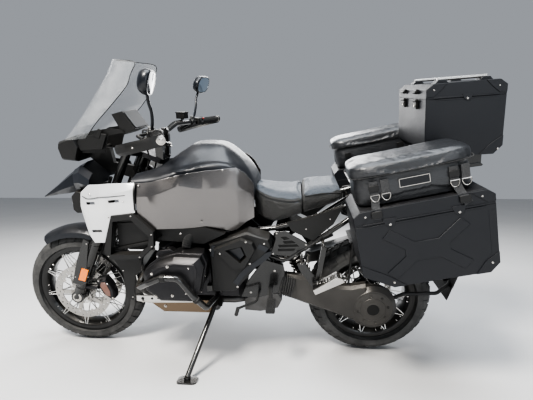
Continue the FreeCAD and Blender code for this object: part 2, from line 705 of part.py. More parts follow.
PANEL = (
    # x, outer face from top to bottom
    (568, ((164, 955), (170, 905), (176, 860), (178, 800))),
    (603, ((180, 1008), (190, 930), (192, 850), (186, 782))),
    (641, ((200, 1038), (214, 950), (212, 850), (198, 752))),
    (672, ((208, 1037), (222, 950), (218, 850), (204, 740))),
    (783, ((230, 1030), (246, 950), (246, 860), (232, 772))),
    (886, ((246, 1018), (268, 972), (266, 868), (250, 768))),
    (969, ((258, 998), (283, 940), (281, 858), (270, 772))),
    (1016, ((262, 987), (288, 930), (287, 862), (280, 774))),
    (1076, ((262, 982), (286, 930), (290, 892), (286, 838))),
)
tank_panels = both(skin(PANEL, d.panel_wall))
WHITE = (
    (1082, ((266, 986), (286, 960), (294, 905), (297, 858))),
    (1192, ((272, 984), (290, 940), (300, 890), (300, 846))),
    (1244, ((272, 980), (290, 925), (298, 830), (290, 712))),
    (1294, ((266, 977), (284, 920), (292, 830), (283, 708))),
    (1317, ((260, 960), (278, 905), (284, 845), (279, 746))),
    (1341, ((256, 940), (266, 910), (272, 880), (268, 850))),
)
front_panels = skin(WHITE, d.panel_wall)
SLOTS = (((1308, 902), (1264, 906), (1262, 894), (1306, 890)),
         ((1200, 914), (1150, 918), (1148, 906), (1198, 902)),
         ((1298, 772), (1248, 776), (1246, 764), (1296, 760)))
for slot in SLOTS:
    front_panels = front_panels.cut(prism(slot, 240, 320))
front_panels = both(solids(front_panels))

DUCT = ((1192, 847), (1097, 860), (1073, 846), (1002, 773), (1007, 702), (1075, 638),
        (1228, 631), (1249, 677))
DUCT_MOUTH = ((1186, 818), (1104, 830), (1028, 748), (1038, 702), (1086, 662), (1216, 660))
duct = cast(DUCT, ((262, 0.9), (288, 1.0), (306, 0.97)))
duct = duct.cut(prism(DUCT_MOUTH, 250, 320))
FIN = ((1229, 620), (1193, 540), (1189, 424), (1158, 399), (1133, 534), (1081, 570), (1097, 627))
fin = cast(FIN, ((255, 0.96), (262, 1.0)))
fin_link = prism(((1100, 615), (1100, 650), (1215, 650), (1215, 612)), 255, 270)
ducts = both(joined(duct, fin, fin_link))
RADIATOR = ((1050, 668), (1040, 800), (1100, 836), (1186, 826), (1196, 672))
radiators = both(prism(RADIATOR, 200, 262 - d.gap))

BEAK = (
    # x, half section from top to bottom
    (1686, ((10, 858), (20, 855), (20, 851), (10, 848))),
    (1603, ((22, 914), (42, 906), (44, 884), (26, 866))),
    (1530, ((40, 966), (74, 950), (80, 912), (54, 880))),
    (1445, ((60, 1022), (108, 1002), (118, 940), (80, 900))),
    (1395, ((70, 1046), (130, 1026), (150, 960), (110, 910))),
)
beak = across(BEAK)
BEAK_CHEEK = (
    (1310, ((196, 1010), (226, 990), (236, 962), (222, 944))),
    (1400, ((126, 1036), (156, 1010), (166, 962), (140, 930))),
    (1450, ((98, 1012), (122, 990), (126, 950), (112, 916))),
)
cheeks = both(skin(BEAK_CHEEK, 12))
beak = solids(beak.multiFuse(cheeks.Solids))

LAMP = ((1500, 1060), (1514, 1118), (1508, 1146), (1420, 1176), (1396, 1120), (1420, 1052))
headlight = cast(LAMP, ((-118, 0.8), (-96, 1.0), (96, 1.0), (118, 0.8)))
CARRIER = ((1180, 1186), (1190, 1198), (1250, 1206), (1340, 1196), (1420, 1160), (1400, 1090),
           (1290, 1090), (1262, 1172))
SPINE = ((1176, 1010), (1196, 950), (1330, 990), (1410, 1060), (1400, 1110), (1300, 1104),
         (1290, 1030))

SCREEN = (
    # middle x, z; edge x, z, half width
    (1222, 1516, 1076, 1494, 128), (1255, 1450, 1094, 1442, 150), (1300, 1390, 1112, 1392, 165),
    (1392, 1266, 1190, 1306, 190), (1456, 1196, 1262, 1238, 190), (1512, 1150, 1340, 1168, 150),
)


def screen_section(mid_x, mid_z, edge_x, edge_z, half):
    left, middle, right = pt(edge_x, half, edge_z), pt(mid_x, 0, mid_z), pt(edge_x, -half, edge_z)
    inward = (pt(edge_x, 0, edge_z) - middle).normalize() * d.screen_wall
    left_in = left + inward * 0.4 - Y_AXIS * (0.9 * d.screen_wall)
    right_in = right + inward * 0.4 + Y_AXIS * (0.9 * d.screen_wall)
    middle_in = middle + inward
    return Part.Wire([Part.Arc(left, middle, right).toShape(), Part.makeLine(right, right_in),
                      Part.Arc(right_in, middle_in, left_in).toShape(),
                      Part.makeLine(left_in, left)])


windshield = Part.makeLoft([screen_section(*row) for row in SCREEN], True, True)

DISPLAY = ((1235, 1270), (1183, 1283), (1127, 1200), (1190, 1174))
display = prism(DISPLAY, -84, 84)
carrier_plates = both(prism(CARRIER, 84 + d.gap, 90))
carrier_rail = rod(pt(1350, -88, 1100), pt(1350, 88, 1100), 12)
carrier_spine = prism(SPINE, -16, 16)

# Covers below the tank and the seat
KNEE = ((1017, 768), (991, 731), (1017, 706), (908, 700), (799, 690), (698, 741), (788, 771),
        (868, 767))
SIDE = ((778, 690), (597, 750), (497, 721), (485, 689), (515, 631), (662, 452), (774, 443))
RING = ((755, 675), (625, 729), (569, 709), (555, 678), (608, 583), (667, 575))
RING_MOUTH = ((696, 672), (620, 692), (599, 642), (629, 611))
knee = prism(KNEE, 205, 240)
side_shell = cast(SIDE, ((154, 0.98), (236, 1.0), (250, 0.94)))
side_ring = cast(RING, ((250, 1.0), (272, 0.92)))
side_mouth = prism(RING_MOUTH, 225, 300)
side_cover = joined(side_shell, side_ring).cut(side_mouth)

TAIL = ((397, 730), (420, 772), (342, 789), (192, 840), (160, 854), (205, 765), (298, 681))
tail_panels = both(prism(TAIL, 158, 166))

# Luggage


def tilt(x, z, pitch_deg):
    """A luggage frame: local x runs back along the case, local z up, rear raised."""
    turn = FreeCAD.Rotation(pt(0, 0, 1), 180).multiply(FreeCAD.Rotation(Y_AXIS, -pitch_deg))
    return FreeCAD.Placement(pt(x, 0, z), turn)


def case_outline(long, tall, corner):
    """Side view of a case body, local (back, up): the front lower corner is cut away."""
    return ((0, 0), (long, 0), (long, -tall + corner), (long - corner, -tall),
            (3.2 * corner, -tall), (0, -tall + 1.9 * corner))


def lid_outline(long, tall, corner):
    return ((0, 0), (long, 0), (long, tall - 0.6 * corner), (long - 0.8 * corner, tall),
            (0.8 * corner, tall), (0, tall - 0.6 * corner))


def shrink(outline, wall):
    """The outline moved in by the wall on every side."""
    face = Part.Face(wire([pt(x, 0, z) for x, z in outline]))
    inner = face.makeOffset2D(-wall)
    return [(point.Point.x, point.Point.z) for point in inner.OuterWire.OrderedVertexes]


def hollow(outline, low, high, wall, open_top):
    """A case body or a lid: walls all round, open where the two meet."""
    shell = prism(outline, low, high)
    inner = prism(shrink(outline, wall), low + wall, high - wall)
    tops = [z for x, z in outline]
    longs = [x for x, z in outline]
    mouth_z = -2 * wall if open_top else -wall
    mouth = Part.makeBox(max(longs) - 2 * wall, high - low - 2 * wall, 3 * wall,
                         pt(wall, low + wall, mouth_z))
    return shell.cut(inner.fuse(mouth))


case_top = pt(158, 0, 864)


def case_on_side(low, high):
    body = hollow(case_outline(d.case_long, d.case_tall, d.case_corner), low, high,
                  d.case_wall, True)
    lid = hollow(lid_outline(d.case_long, d.case_lid_tall, d.case_corner), low, high,
                 d.case_wall, False)
    lid.translate(pt(0, 0, d.gap))
    return body, lid


def local_pieces(shapes, frame):
    placed = []
    for shape in shapes:
        shape.Placement = frame.multiply(shape.Placement)
        placed.append(shape)
    return placed


side_frame = tilt(case_top.x, case_top.z, d.case_pitch_deg)
left_inner_y = d.case_outer_y - d.left_case_deep
right_inner_y = d.case_outer_y - d.right_case_deep
# the half turn of the luggage frame swaps left and right
left_body, left_lid = local_pieces(case_on_side(-d.case_outer_y, -left_inner_y), side_frame)
right_body, right_lid = local_pieces(case_on_side(right_inner_y, d.case_outer_y), side_frame)
add("left_case", left_body)
add("right_case", right_body)
add("left_case_lid", left_lid)
add("right_case_lid", right_lid)

BAG = (
    # along the case, share of the height, share of the depth
    (12, 0.80, 0.90), (30, 0.97, 0.98), (240, 1.0, 1.0), (440, 0.97, 0.98), (462, 0.78, 0.90),
)


def bag(inner_y, outer_y):
    """A soft roll bag lying on a lid, a closed solid with rounded long edges."""
    mid = (inner_y + outer_y) / 2
    half = (outer_y - inner_y) / 2
    base = d.case_lid_tall + 2 * d.gap
    sections = []
    for along, tall_share, deep_share in BAG:
        tall = d.bag_tall * tall_share
        deep = half * deep_share
        rise = (d.bag_tall - tall) / 2
        ring = []
        for y_share, z_share in ((-0.86, 0), (0.86, 0), (1, 0.16), (1, 0.74), (0.8, 0.96),
                                 (0.3, 1), (-0.3, 1), (-0.8, 0.96), (-1, 0.74), (-1, 0.16)):
            ring.append(pt(along, mid + deep * y_share, base + rise + tall * z_share))
        sections.append(wire(ring))
    return Part.makeLoft(sections, True, True)


left_bag, = local_pieces([bag(-472, -232)], side_frame)
right_bag, = local_pieces([bag(262, 470)], side_frame)
add("left_bag", left_bag)
add("right_bag", right_bag)

top_frame = tilt(-142, 1312, d.top_case_pitch_deg)


def top_case_outline(long, tall, corner):
    return ((0, 0), (long, 0), (long, -tall + corner), (long - corner, -tall),
            (corner, -tall), (0, -tall + corner))


top_body = hollow(top_case_outline(d.top_case_long, d.top_case_tall, d.case_corner),
                  -d.top_case_half, d.top_case_half, d.case_wall, True)
top_lid = hollow(lid_outline(d.top_case_long, d.top_case_lid_tall, d.case_corner),
                 -d.top_case_half, d.top_case_half, d.case_wall, False)
top_lid.translate(pt(0, 0, d.gap))
top_body, top_lid = local_pieces([top_body, top_lid], top_frame)
add("top_case", top_body)
add("top_case_lid", top_lid)


def side_rack(side, case_inner):
    """Tube loop against the case's inner wall, with stays to the tail."""
    y = side * (case_inner - d.rack_tube_r - d.gap)
    loop = tube(((120, y, 830), (-300, y, 912), (-310, y, 742), (70, y, 664), (118, y, 700),
                 (120, y, 828)), d.rack_tube_r, 26)
    high_stay = rod(pt(-90, y, 872), pt(-90, side * 108, 896), 7)
    low_stay = rod(pt(100, y, 800), pt(100, side * 140, 805), 7)
    return loop, high_stay, low_stay


racks = []
for side, inner in ((1, left_inner_y), (-1, right_inner_y)):
    loop, high_stay, low_stay = side_rack(side, inner)
    racks += joined(loop, high_stay, low_stay).Solids

rack_plate = prism(((130, 946), (118, 956), (-430, 1040), (-440, 1032), (-436, 1026), (118, 944)),
                   -118, 118)
rack_legs = both(prism(((60, 880), (20, 880), (20, 962), (60, 956)), 100, 108),
                 prism(((-80, 895), (-130, 900), (-180, 994), (-110, 984)), 100, 108))
TOP_FOOT = ((40, -d.gap), (275, -d.gap), (275, -58), (40, -80))
top_case_foot = prism([(back, up - d.top_case_tall) for back, up in TOP_FOOT], -110, 110)
top_case_foot.Placement = top_frame

# Rest of the controls and fittings


def peg(x, z, low, high, wide, thick):
    block = Part.makeBox(wide, high - low, thick, pt(x - wide / 2, low, z - thick / 2))
    return block.makeChamfer(4, block.Edges)


rider_peg = peg(492, 406, 240, 338, 42, 24)
rider_peg_arm = tube(((500, 160 + d.gap, 430), (500, 200, 424), (494, 246, 408)), 11, 20)
pillion_bracket = prism(((372, 598), (340, 606), (262, 500), (268, 470), (292, 470), (360, 566)),
                        236, 244)
pillion_stay = prism(((240, 684), (262, 690), (292, 500), (270, 488)), 245, 253)
pillion_peg = prism(((292, 478), (160, 540), (170, 560), (196, 566), (300, 500)), 262, 296)
peg_pin = rod(pt(280, 236, 486), pt(280, 266, 486), 7)
bracket_foot = rod(pt(352, 160, 592), pt(352, 238, 592), 8)
stay_foot = rod(pt(252, 150, 680), pt(252, 247, 680), 8)

shift_lever = joined(tube(((556, 160 + d.gap, 410), (562, 250, 404), (650, 262, 372), (652, 268, 371)),
                          6, 20),
                     rod(pt(651, 262, 371), pt(651, 312, 371), 9))
brake_pedal = joined(tube(((540, -160 - d.gap, 400), (560, -250, 392), (668, -262, 366),
                           (676, -264, 365)), 7, 20),
                     Part.makeBox(34, 44, 10, pt(660, -306, 360)))

STAND_PIVOT = pt(780, 176, 336)
bracket = Part.makeBox(70, 46, 114, pt(745, 130, 326))
foot_up = pt(0, -math.sin(lean), math.cos(lean))


def side_stand():
    """Leg and foot plate: the plate lies flat on the ground when the machine leans."""
    sole = pt(867, 0, 0)
    reach = 451.0
    # ground point of the foot, seen in the upright machine's frame
    sole.y = reach * math.cos(lean)
    sole.z = reach * math.sin(lean)
    top = pt(STAND_PIVOT.x, STAND_PIVOT.y, STAND_PIVOT.z)
    ankle = sole + foot_up * (d.stand_foot_thick + 12)
    leg = rod(top, ankle, d.stand_r)
    knuckle = rod(top - STAND_AXIS * 12, top + STAND_AXIS * 12, 19)
    plate = Part.makeBox(92, 62, d.stand_foot_thick, pt(-46, -31, 0))
    plate = plate.makeFillet(18, [edge for edge in plate.Edges
                                  if abs(edge.tangentAt(edge.FirstParameter).z) > 0.9])
    neck = Part.makeCylinder(15, 16, pt(0, 0, d.stand_foot_thick - 1))
    foot = plate.fuse(neck)
    foot.rotate(ORIGIN, pt(1, 0, 0), d.lean_deg)
    foot.translate(sole)
    return joined(leg, knuckle, foot)


STAND_AXIS = pt(0.1755, 0.6163, 0.7678).normalize()
stand = side_stand()
stand_fork = rod(STAND_PIVOT - STAND_AXIS * 30, STAND_PIVOT - STAND_AXIS * 12.3, 20)
add("side_stand", stand)
bracket = joined(bracket, stand_fork)
bracket = bracket.cut(rod(STAND_PIVOT - STAND_AXIS * 12.3, STAND_PIVOT + STAND_AXIS * 60, 60))

# Number plate holder behind the rear wheel, lamp under the rack
PLATE_FOOT = pt(-366, 0, 346)
plate = Part.makeBox(4, d.plate_wide, d.plate_tall, pt(-4, -d.plate_wide / 2, 0))
for side in (-1, 1):
    hole = Part.makeCylinder(d.plate_hole_r, 20, pt(-12, side * d.plate_hole_pitch / 2, 130),
                             pt(1, 0, 0))
    plate = plate.cut(hole)
plate.rotate(ORIGIN, Y_AXIS, -16)
plate.translate(PLATE_FOOT)
hugger_face = Part.Face(wire([pt(0, y, r) for y, r in HUGGER]))
hugger = hugger_face.revolve(ORIGIN, Y_AXIS, 82)
hugger.rotate(ORIGIN, Y_AXIS, -62)
hugger.translate(rear_axle)
hugger_stay = rod(pt(120, 128, 430), pt(102, 88, 640), 6)
holder_arm = tube(((-60, 128, 350), (-150, 126, 390), (-310, 116, 392), (-392, 60, 420),
                   (-394, 0, 424)), 9, 40)
holder_boss = rod(pt(-394, 0, 424), pt(-372, 0, 424), 22)
rear_fender = solids(hugger.multiFuse([hugger_stay, holder_arm, holder_boss]))
lamp = prism(((-142 - d.gap, 880), (-142 - d.gap, 916), (-178, 922), (-186, 878)), -70, 70)

# Remaining sub-parts by name
add("mirrors", mirrors)
add("engine_bars", engine_bars)
add("exhaust", exhaust)
add("main_frame", joined(main_frame, *foot_plates.Solids, *bracket.Solids))
add("rear_frame", rear_frame)
add("front_suspension", joined(arm, strut))
add("swing_arm", joined(swing_arm, shock_foot))
add("rear_shock", shock)
add("rear_fender", rear_fender)
add("plate_holder", plate)
add("rider_seat", rider_seat)
add("pillion_seat", pillion_seat)
add("tank_cover", solids(tank))
add("tank_panels", tank_panels)
add("front_panels", front_panels)
add("radiator_ducts", ducts)
add("radiators", radiators)
add("beak", beak)
add("headlight", headlight)
add("windshield", windshield)
add("cockpit", joined(display.fuse(rod(pt(1200, -90, 1192), pt(1200, 90, 1192), 7)),
                      carrier_spine, carrier_rail, *carrier_plates.Solids))
add("side_covers", Part.makeCompound(both(knee).Solids + both(side_cover).Solids
                                     + tail_panels.Solids))
add("case_racks", Part.makeCompound(racks))
add("rear_rack", joined(rack_plate, top_case_foot, *rack_legs.Solids))
rider_pegs = both(joined(rider_peg, rider_peg_arm))
add("rider_footrests", Part.makeCompound(rider_pegs.Solids + shift_lever.Solids + brake_pedal.Solids))
add("pillion_footrests", both(joined(pillion_bracket, pillion_stay, pillion_peg, peg_pin,
                                     bracket_foot, stay_foot)))
add("tail_lamp", lamp)

# Where two pieces meet, the first is open round the others
GIVES_WAY = (
    ("handlebar", ("fork_bridges",)),
    ("bar_controls", ("handlebar",)),
    ("hand_guards", ("handlebar", "bar_controls")),
    ("mirrors", ("handlebar", "bar_controls", "hand_guards")),
    ("main_frame", ("engine_block",)),
    ("front_fender", ("fork_legs",)),
    ("tank_panels", ("side_covers",)),
    ("rear_frame", ("main_frame",)),
    ("rider_footrests", ("main_frame",)),
    ("front_suspension", ("engine_block", "main_frame")),
    ("tank_cover", ("main_frame", "front_suspension", "rider_seat")),
    ("exhaust", ("cylinders", "engine_block")),
    ("engine_bars", ("engine_block", "cylinders")),
    ("skid_plate", ("exhaust", "engine_bars")),
    ("swing_arm", ("main_frame",)),
    ("rear_shock", ("swing_arm", "main_frame", "rear_frame")),
    ("cockpit", ("headlight", "main_frame")),
    ("windshield", ("headlight", "cockpit")),
    ("beak", ("headlight", "cockpit")),
    ("case_racks", ("rear_frame",)),
    ("rear_rack", ("rear_frame",)),
    ("rear_fender", ("plate_holder", "swing_arm")),
    ("radiator_ducts", ("tank_panels", "front_panels", "radiators", "engine_bars")),
    ("side_covers", ("engine_block", "main_frame", "rear_frame", "cylinders")),
    ("pillion_footrests", ("exhaust", "rear_frame")),
)
for name, others in GIVES_WAY:
    shapes[name] = cut_round(shapes[name], *[shapes[other] for other in others])

for name, shape in shapes.items():
    feature = doc.addObject("Part::Feature", name)
    feature.Label = name
    feature.Shape = shape
    nodes[name] = feature

# The machine leans on to its stand and its origin goes under the middle of its box
lean_turn = FreeCAD.Rotation(pt(1, 0, 0), -d.lean_deg)
leaned = FreeCAD.Placement(ORIGIN, lean_turn)
boxes = []
for shape in shapes.values():
    copy = shape.copy()
    copy.transformShape(leaned.toMatrix(), True)
    boxes.append(copy.optimalBoundingBox(False))
low_x, high_x = min(b.XMin for b in boxes), max(b.XMax for b in boxes)
low_y, high_y = min(b.YMin for b in boxes), max(b.YMax for b in boxes)
low_z = min(b.ZMin for b in boxes)
middle = pt((low_x + high_x) / 2, (low_y + high_y) / 2, low_z)
parked = FreeCAD.Placement(middle * -1, lean_turn)
print("box", high_x - low_x, high_y - low_y, "moved by", middle)
for feature in nodes.values():
    feature.Placement = parked.multiply(feature.Placement)

doc.recompute()
for item in doc.Objects:
    if "Invalid" in item.State or "Error" in item.State:
        raise RuntimeError(f"{item.Name}: {item.State}")
os.makedirs("parts", exist_ok=True)
for name, feature in nodes.items():
    shape = feature.Shape
    if shape.isNull() or not shape.isValid() or not shape.Solids:
        raise RuntimeError(f"{name}: no sound solid")
    shape.exportStep(f"parts/{name}.step")
print(len(nodes), "nodes", sum(len(f.Shape.Solids) for f in nodes.values()), "solids")
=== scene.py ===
"""The touring motorcycle on its side stand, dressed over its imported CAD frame."""

import json
import math

import bmesh
import bpy
from mathutils import Matrix, Vector, noise

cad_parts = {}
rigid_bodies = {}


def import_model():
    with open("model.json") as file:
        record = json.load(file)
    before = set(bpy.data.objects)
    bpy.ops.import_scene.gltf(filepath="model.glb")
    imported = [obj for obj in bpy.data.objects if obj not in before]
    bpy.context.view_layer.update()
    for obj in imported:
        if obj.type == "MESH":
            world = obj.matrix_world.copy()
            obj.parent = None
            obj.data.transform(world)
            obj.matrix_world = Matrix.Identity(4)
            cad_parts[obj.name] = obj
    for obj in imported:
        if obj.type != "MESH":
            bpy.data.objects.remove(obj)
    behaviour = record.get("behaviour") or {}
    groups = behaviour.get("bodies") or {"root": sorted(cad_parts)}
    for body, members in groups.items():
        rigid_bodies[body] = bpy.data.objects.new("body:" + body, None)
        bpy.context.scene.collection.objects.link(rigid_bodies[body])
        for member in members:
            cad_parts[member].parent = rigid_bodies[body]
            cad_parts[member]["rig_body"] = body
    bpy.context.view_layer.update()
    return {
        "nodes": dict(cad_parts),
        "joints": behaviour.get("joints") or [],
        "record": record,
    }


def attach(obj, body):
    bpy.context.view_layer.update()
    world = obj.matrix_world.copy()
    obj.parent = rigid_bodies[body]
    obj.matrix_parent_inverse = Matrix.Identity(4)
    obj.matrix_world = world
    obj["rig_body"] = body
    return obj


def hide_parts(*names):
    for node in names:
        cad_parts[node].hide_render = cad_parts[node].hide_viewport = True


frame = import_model()
nodes = frame["nodes"]
joints = {joint["name"]: joint for joint in frame["joints"]}
scene = bpy.context.scene

# The upright machine: x forward from the rear axle, y to the left, z up from the ground, in mm.
# It leans on its stand, and both the lean and its place come from the rear wheel's joint.
REAR_AXLE_Z = 320.2
FRONT_AXLE = (1534.0, 0.0, 326.5)
REAR_AXLE = (0.0, 0.0, REAR_AXLE_Z)
RAKE, TRAIL = math.radians(26.2), 118.8
FORK_TILT = math.radians(25.5)
BAR_Z = 1200
axle_way = Vector(joints["rear_wheel_turn"]["axis"])
LEAN = math.atan2(-axle_way.z, axle_way.y)
UPRIGHT = Matrix.Rotation(-LEAN, 4, "X")
GROUND = Vector(joints["rear_wheel_turn"]["pos_m"]) - UPRIGHT @ Vector((0, 0, REAR_AXLE_Z / 1000))
PARKED = Matrix.Translation(GROUND) @ UPRIGHT


def way(x, y, z):
    """A direction of the upright machine, as a unit direction in the frame."""
    return (UPRIGHT @ Vector((x, y, z))).normalized()


# Camera, from the photograph's own viewpoint
CAMERA_FROM_REAR = Vector((0.371237, 2.078359, 0.929196))
CAMERA_YAW, CAMERA_PITCH, CAMERA_ROLL = -0.0815493, -0.0624333, -0.00217865
FOCAL_PIXELS, PHOTO_WIDE = 377.38, 533
SENSOR = 36.0
level = math.cos(CAMERA_PITCH)
ahead = Vector((-math.sin(CAMERA_YAW) * level, -math.cos(CAMERA_YAW) * level, math.sin(CAMERA_PITCH)))
right = ahead.cross(Vector((0, 0, 1))).normalized()
above = right.cross(ahead)
rolled_right = right * math.cos(CAMERA_ROLL) + above * math.sin(CAMERA_ROLL)
rolled_up = above * math.cos(CAMERA_ROLL) - right * math.sin(CAMERA_ROLL)
camera = bpy.data.objects.new("camera", bpy.data.cameras.new("camera"))
scene.collection.objects.link(camera)
camera.data.sensor_width = SENSOR
camera.data.lens = SENSOR * FOCAL_PIXELS / PHOTO_WIDE
camera.data.clip_start, camera.data.clip_end = 0.05, 60
turned = Matrix((rolled_right, rolled_up, -ahead)).transposed().to_4x4()
floor_under_rear = Vector((GROUND.x, GROUND.y, 0))
camera.matrix_world = Matrix.Translation(floor_under_rear + CAMERA_FROM_REAR) @ turned
scene.camera = camera


# Materials
class Field:
    """A socket of a material's nodes that can stand in a sum."""

    def __init__(self, tree, socket):
        self.tree = tree
        self.socket = socket

    def math(self, operation, *values, clamp=False):
        node = self.tree.nodes.new("ShaderNodeMath")
        node.operation = operation
        node.use_clamp = clamp
        for entry, value in zip(node.inputs, values):
            feed(self.tree, entry, value)
        return Field(self.tree, node.outputs[0])

    def __add__(self, other):
        return self.math("ADD", self, other)

    def __radd__(self, other):
        return self.math("ADD", other, self)

    def __sub__(self, other):
        return self.math("SUBTRACT", self, other)

    def __mul__(self, other):
        return self.math("MULTIPLY", self, other)

    def __rmul__(self, other):
        return self.math("MULTIPLY", other, self)

    def above(self, level, soft=0.05):
        """0 below the level and 1 above it, with a soft step."""
        return self.math("MULTIPLY", self - (level - soft / 2), 1 / soft, clamp=True)


def feed(tree, entry, value):
    """Gives an input a value, or links it to a field."""
    if isinstance(value, Field):
        tree.links.new(value.socket, entry)
    else:
        entry.default_value = value


class Finish:
    """A material in the making: its shader, and the nodes that feed it."""

    def __init__(self, name, **constants):
        self.material = bpy.data.materials.new(name)
        self.material.use_nodes = True
        self.tree = self.material.node_tree
        self.shader = self.tree.nodes["Principled BSDF"]
        for word, value in constants.items():
            self.shader.inputs[word.replace("_", " ")].default_value = value
        place = self.node("ShaderNodeTexCoord", out="Object")
        self.place = self.node("ShaderNodeMapping", sockets={"Vector": place, "Rotation": (LEAN, 0, 0)})

    def node(self, kind, settings=None, sockets=None, out=0):
        node = self.tree.nodes.new(kind)
        for word, value in (settings or {}).items():
            setattr(node, word, value)
        for word, value in (sockets or {}).items():
            feed(self.tree, node.inputs[word], value)
        return Field(self.tree, node.outputs[out])

    def stretched(self, x, y, z):
        """The place on the upright machine, drawn out along its axes."""
        return self.node("ShaderNodeMapping", sockets={"Vector": self.place, "Scale": (x, y, z)})

    def noise(self, scale, detail=3.0, rough=0.55, place=None):
        return self.node("ShaderNodeTexNoise", sockets={
            "Vector": place or self.place, "Scale": scale, "Detail": detail, "Roughness": rough})

    def cells(self, scale, feature="F1"):
        return self.node("ShaderNodeTexVoronoi", {"feature": feature}, {
            "Vector": self.place, "Scale": scale}, out="Distance")

    def split(self, vector):
        """The three parts of a vector, as numbers."""
        node = self.tree.nodes.new("ShaderNodeSeparateXYZ")
        feed(self.tree, node.inputs[0], vector)
        return [Field(self.tree, socket) for socket in node.outputs]

    def facing(self):
        """The surface's direction on the upright machine, as three numbers."""
        normal = self.node("ShaderNodeNewGeometry", out="Normal")
        turned_back = self.node("ShaderNodeMapping", {"vector_type": "NORMAL"}, {
            "Vector": normal, "Rotation": (LEAN, 0, 0)})
        return self.split(turned_back)

    def mixed(self, share, first, second):
        """A colour between two, by a share from 0 to 1."""
        node = self.tree.nodes.new("ShaderNodeMix")
        node.data_type = "RGBA"
        for entry, value in zip((0, 6, 7), (share, first, second)):
            feed(self.tree, node.inputs[entry], value)
        return Field(self.tree, node.outputs[2])

    def give(self, **links):
        for word, value in links.items():
            feed(self.tree, self.shader.inputs[word.replace("_", " ")], value)
        return self

    def bump(self, height, distance, strength=1.0):
        normal = self.node("ShaderNodeBump", sockets={
            "Height": height, "Distance": distance, "Strength": strength})
        return self.give(Normal=normal)


def grey(value):
    return (value, value, value, 1.0)


DUST = (0.30, 0.27, 0.23, 1)


def coated(name, colour, second, metallic, roughness, spread, grain, depth, coat=0.0, dust=0.1):
    """Paint, powder coat, moulded plastic or cast metal, told apart by grain and gloss."""
    finish = Finish(name, Metallic=metallic, Coat_Weight=coat, Coat_Roughness=0.06)
    clouds = finish.noise(9.0, 4.0)
    fine = finish.noise(grain, 2.0)
    upward = finish.facing()[2].above(0.62, 0.5)
    settled = upward * clouds.above(0.42, 0.35) * dust
    base = finish.mixed(clouds.above(0.5, 0.6), colour, second)
    finish.give(Base_Color=finish.mixed(settled, base, DUST),
                Roughness=roughness + spread * (clouds - 0.5) + settled * 0.5)
    return finish.bump(fine, depth).material


def metallic_paint(name, colour, second):
    """Flake paint under a clear coat, with a little orange peel."""
    finish = Finish(name, Metallic=0.9, Coat_Weight=1.0, Coat_Roughness=0.03)
    flakes = finish.cells(2600)
    glint = finish.node("ShaderNodeTexWhiteNoise", sockets={"Vector": finish.stretched(900, 900, 900)}, out=0)
    peel = finish.noise(210, 2.0)
    clouds = finish.noise(3.0)
    sparkle = flakes.above(0.25, 0.3) * 0.35 + glint * 0.12
    base = finish.mixed(clouds.above(0.5, 0.5), colour, second)
    finish.give(Base_Color=finish.mixed(sparkle, base, grey(0.24)), Roughness=0.24 + 0.10 * glint)
    return finish.bump(peel, 0.0002, 0.5).material


def brushed(name, colour, stretch, roughness, depth=0.0002, metallic=1.0):
    """Sheet metal with fine lines along one way and darker worn patches."""
    finish = Finish(name, Metallic=metallic)
    lines = finish.noise(160, 2.0, place=finish.stretched(*stretch))
    clouds = finish.noise(12, 4.0)
    base = finish.mixed(clouds.above(0.5, 0.7) * 0.5 + lines * 0.25, colour, grey(0.28))
    finish.give(Base_Color=base, Roughness=roughness + 0.22 * (lines - 0.5) + 0.14 * (clouds - 0.5))
    return finish.bump(lines, depth).material


def tarpaulin(name):
    """Coated cloth: a fine weave under a shiny film that creases."""
    finish = Finish(name, Coat_Weight=0.35, Coat_Roughness=0.22)
    x, y, z = finish.split(finish.stretched(1900, 1900, 1900))
    weave = x.math("SINE", x + z) * x.math("SINE", z - x + y)
    creases = finish.noise(14, 5.0, 0.6, finish.stretched(1.0, 1.6, 2.4))
    clouds = finish.noise(5.0)
    finish.give(Base_Color=finish.mixed(clouds, (0.012, 0.013, 0.015, 1), (0.035, 0.037, 0.041, 1)),
                Roughness=0.34 + 0.22 * (creases - 0.5))
    return finish.bump(creases * 6 + weave * 0.12, 0.0011).material


def grained(name, colour, second, scale, depth, roughness, top=None):
    """Seat cover, webbing or rubber with a pebbled grain; top is the colour of a painted sky reflection on
    what faces up.
    """
    finish = Finish(name, Sheen_Weight=0.12)
    pebbles = finish.cells(scale, "DISTANCE_TO_EDGE")
    clouds = finish.noise(7.0, 4.0)
    wear = clouds.above(0.55, 0.4)
    base = finish.mixed(wear, colour, second)
    # Painted reflection: what faces up is mixed toward the lighter bluish top colour
    if top:
        base = finish.mixed(finish.facing()[2].above(0.72, 0.16), base, top)
    finish.give(Base_Color=base, Roughness=roughness + 0.16 * (clouds - 0.5))
    return finish.bump(pebbles.above(0.08, 0.14), depth).material


def tyre_rubber(name):
    """Black rubber with patches of dust."""
    finish = Finish(name)
    clouds = finish.noise(16, 5.0, 0.65)
    fine = finish.noise(420, 2.0)
    dusty = clouds.above(0.47, 0.4) * 0.7 + fine * 0.2
    finish.give(Base_Color=finish.mixed(dusty, (0.022, 0.022, 0.023, 1), (0.098, 0.097, 0.094, 1)),
                Roughness=0.72 + 0.2 * (clouds - 0.5))
    return finish.bump(fine, 0.0004).material


def clear(name, colour, roughness, alpha):
    """Clear moulding: mostly see-through, with a skin that reflects."""
    finish = Finish(name, IOR=1.49, Specular_IOR_Level=0.6)
    smears = finish.noise(18, 4.0)
    finish.give(Base_Color=finish.mixed(smears, colour, grey(0.85)),
                Roughness=roughness + 0.05 * smears, Alpha=alpha + 0.05 * smears)
    finish.material.surface_render_method = "BLENDED"
    return finish.material


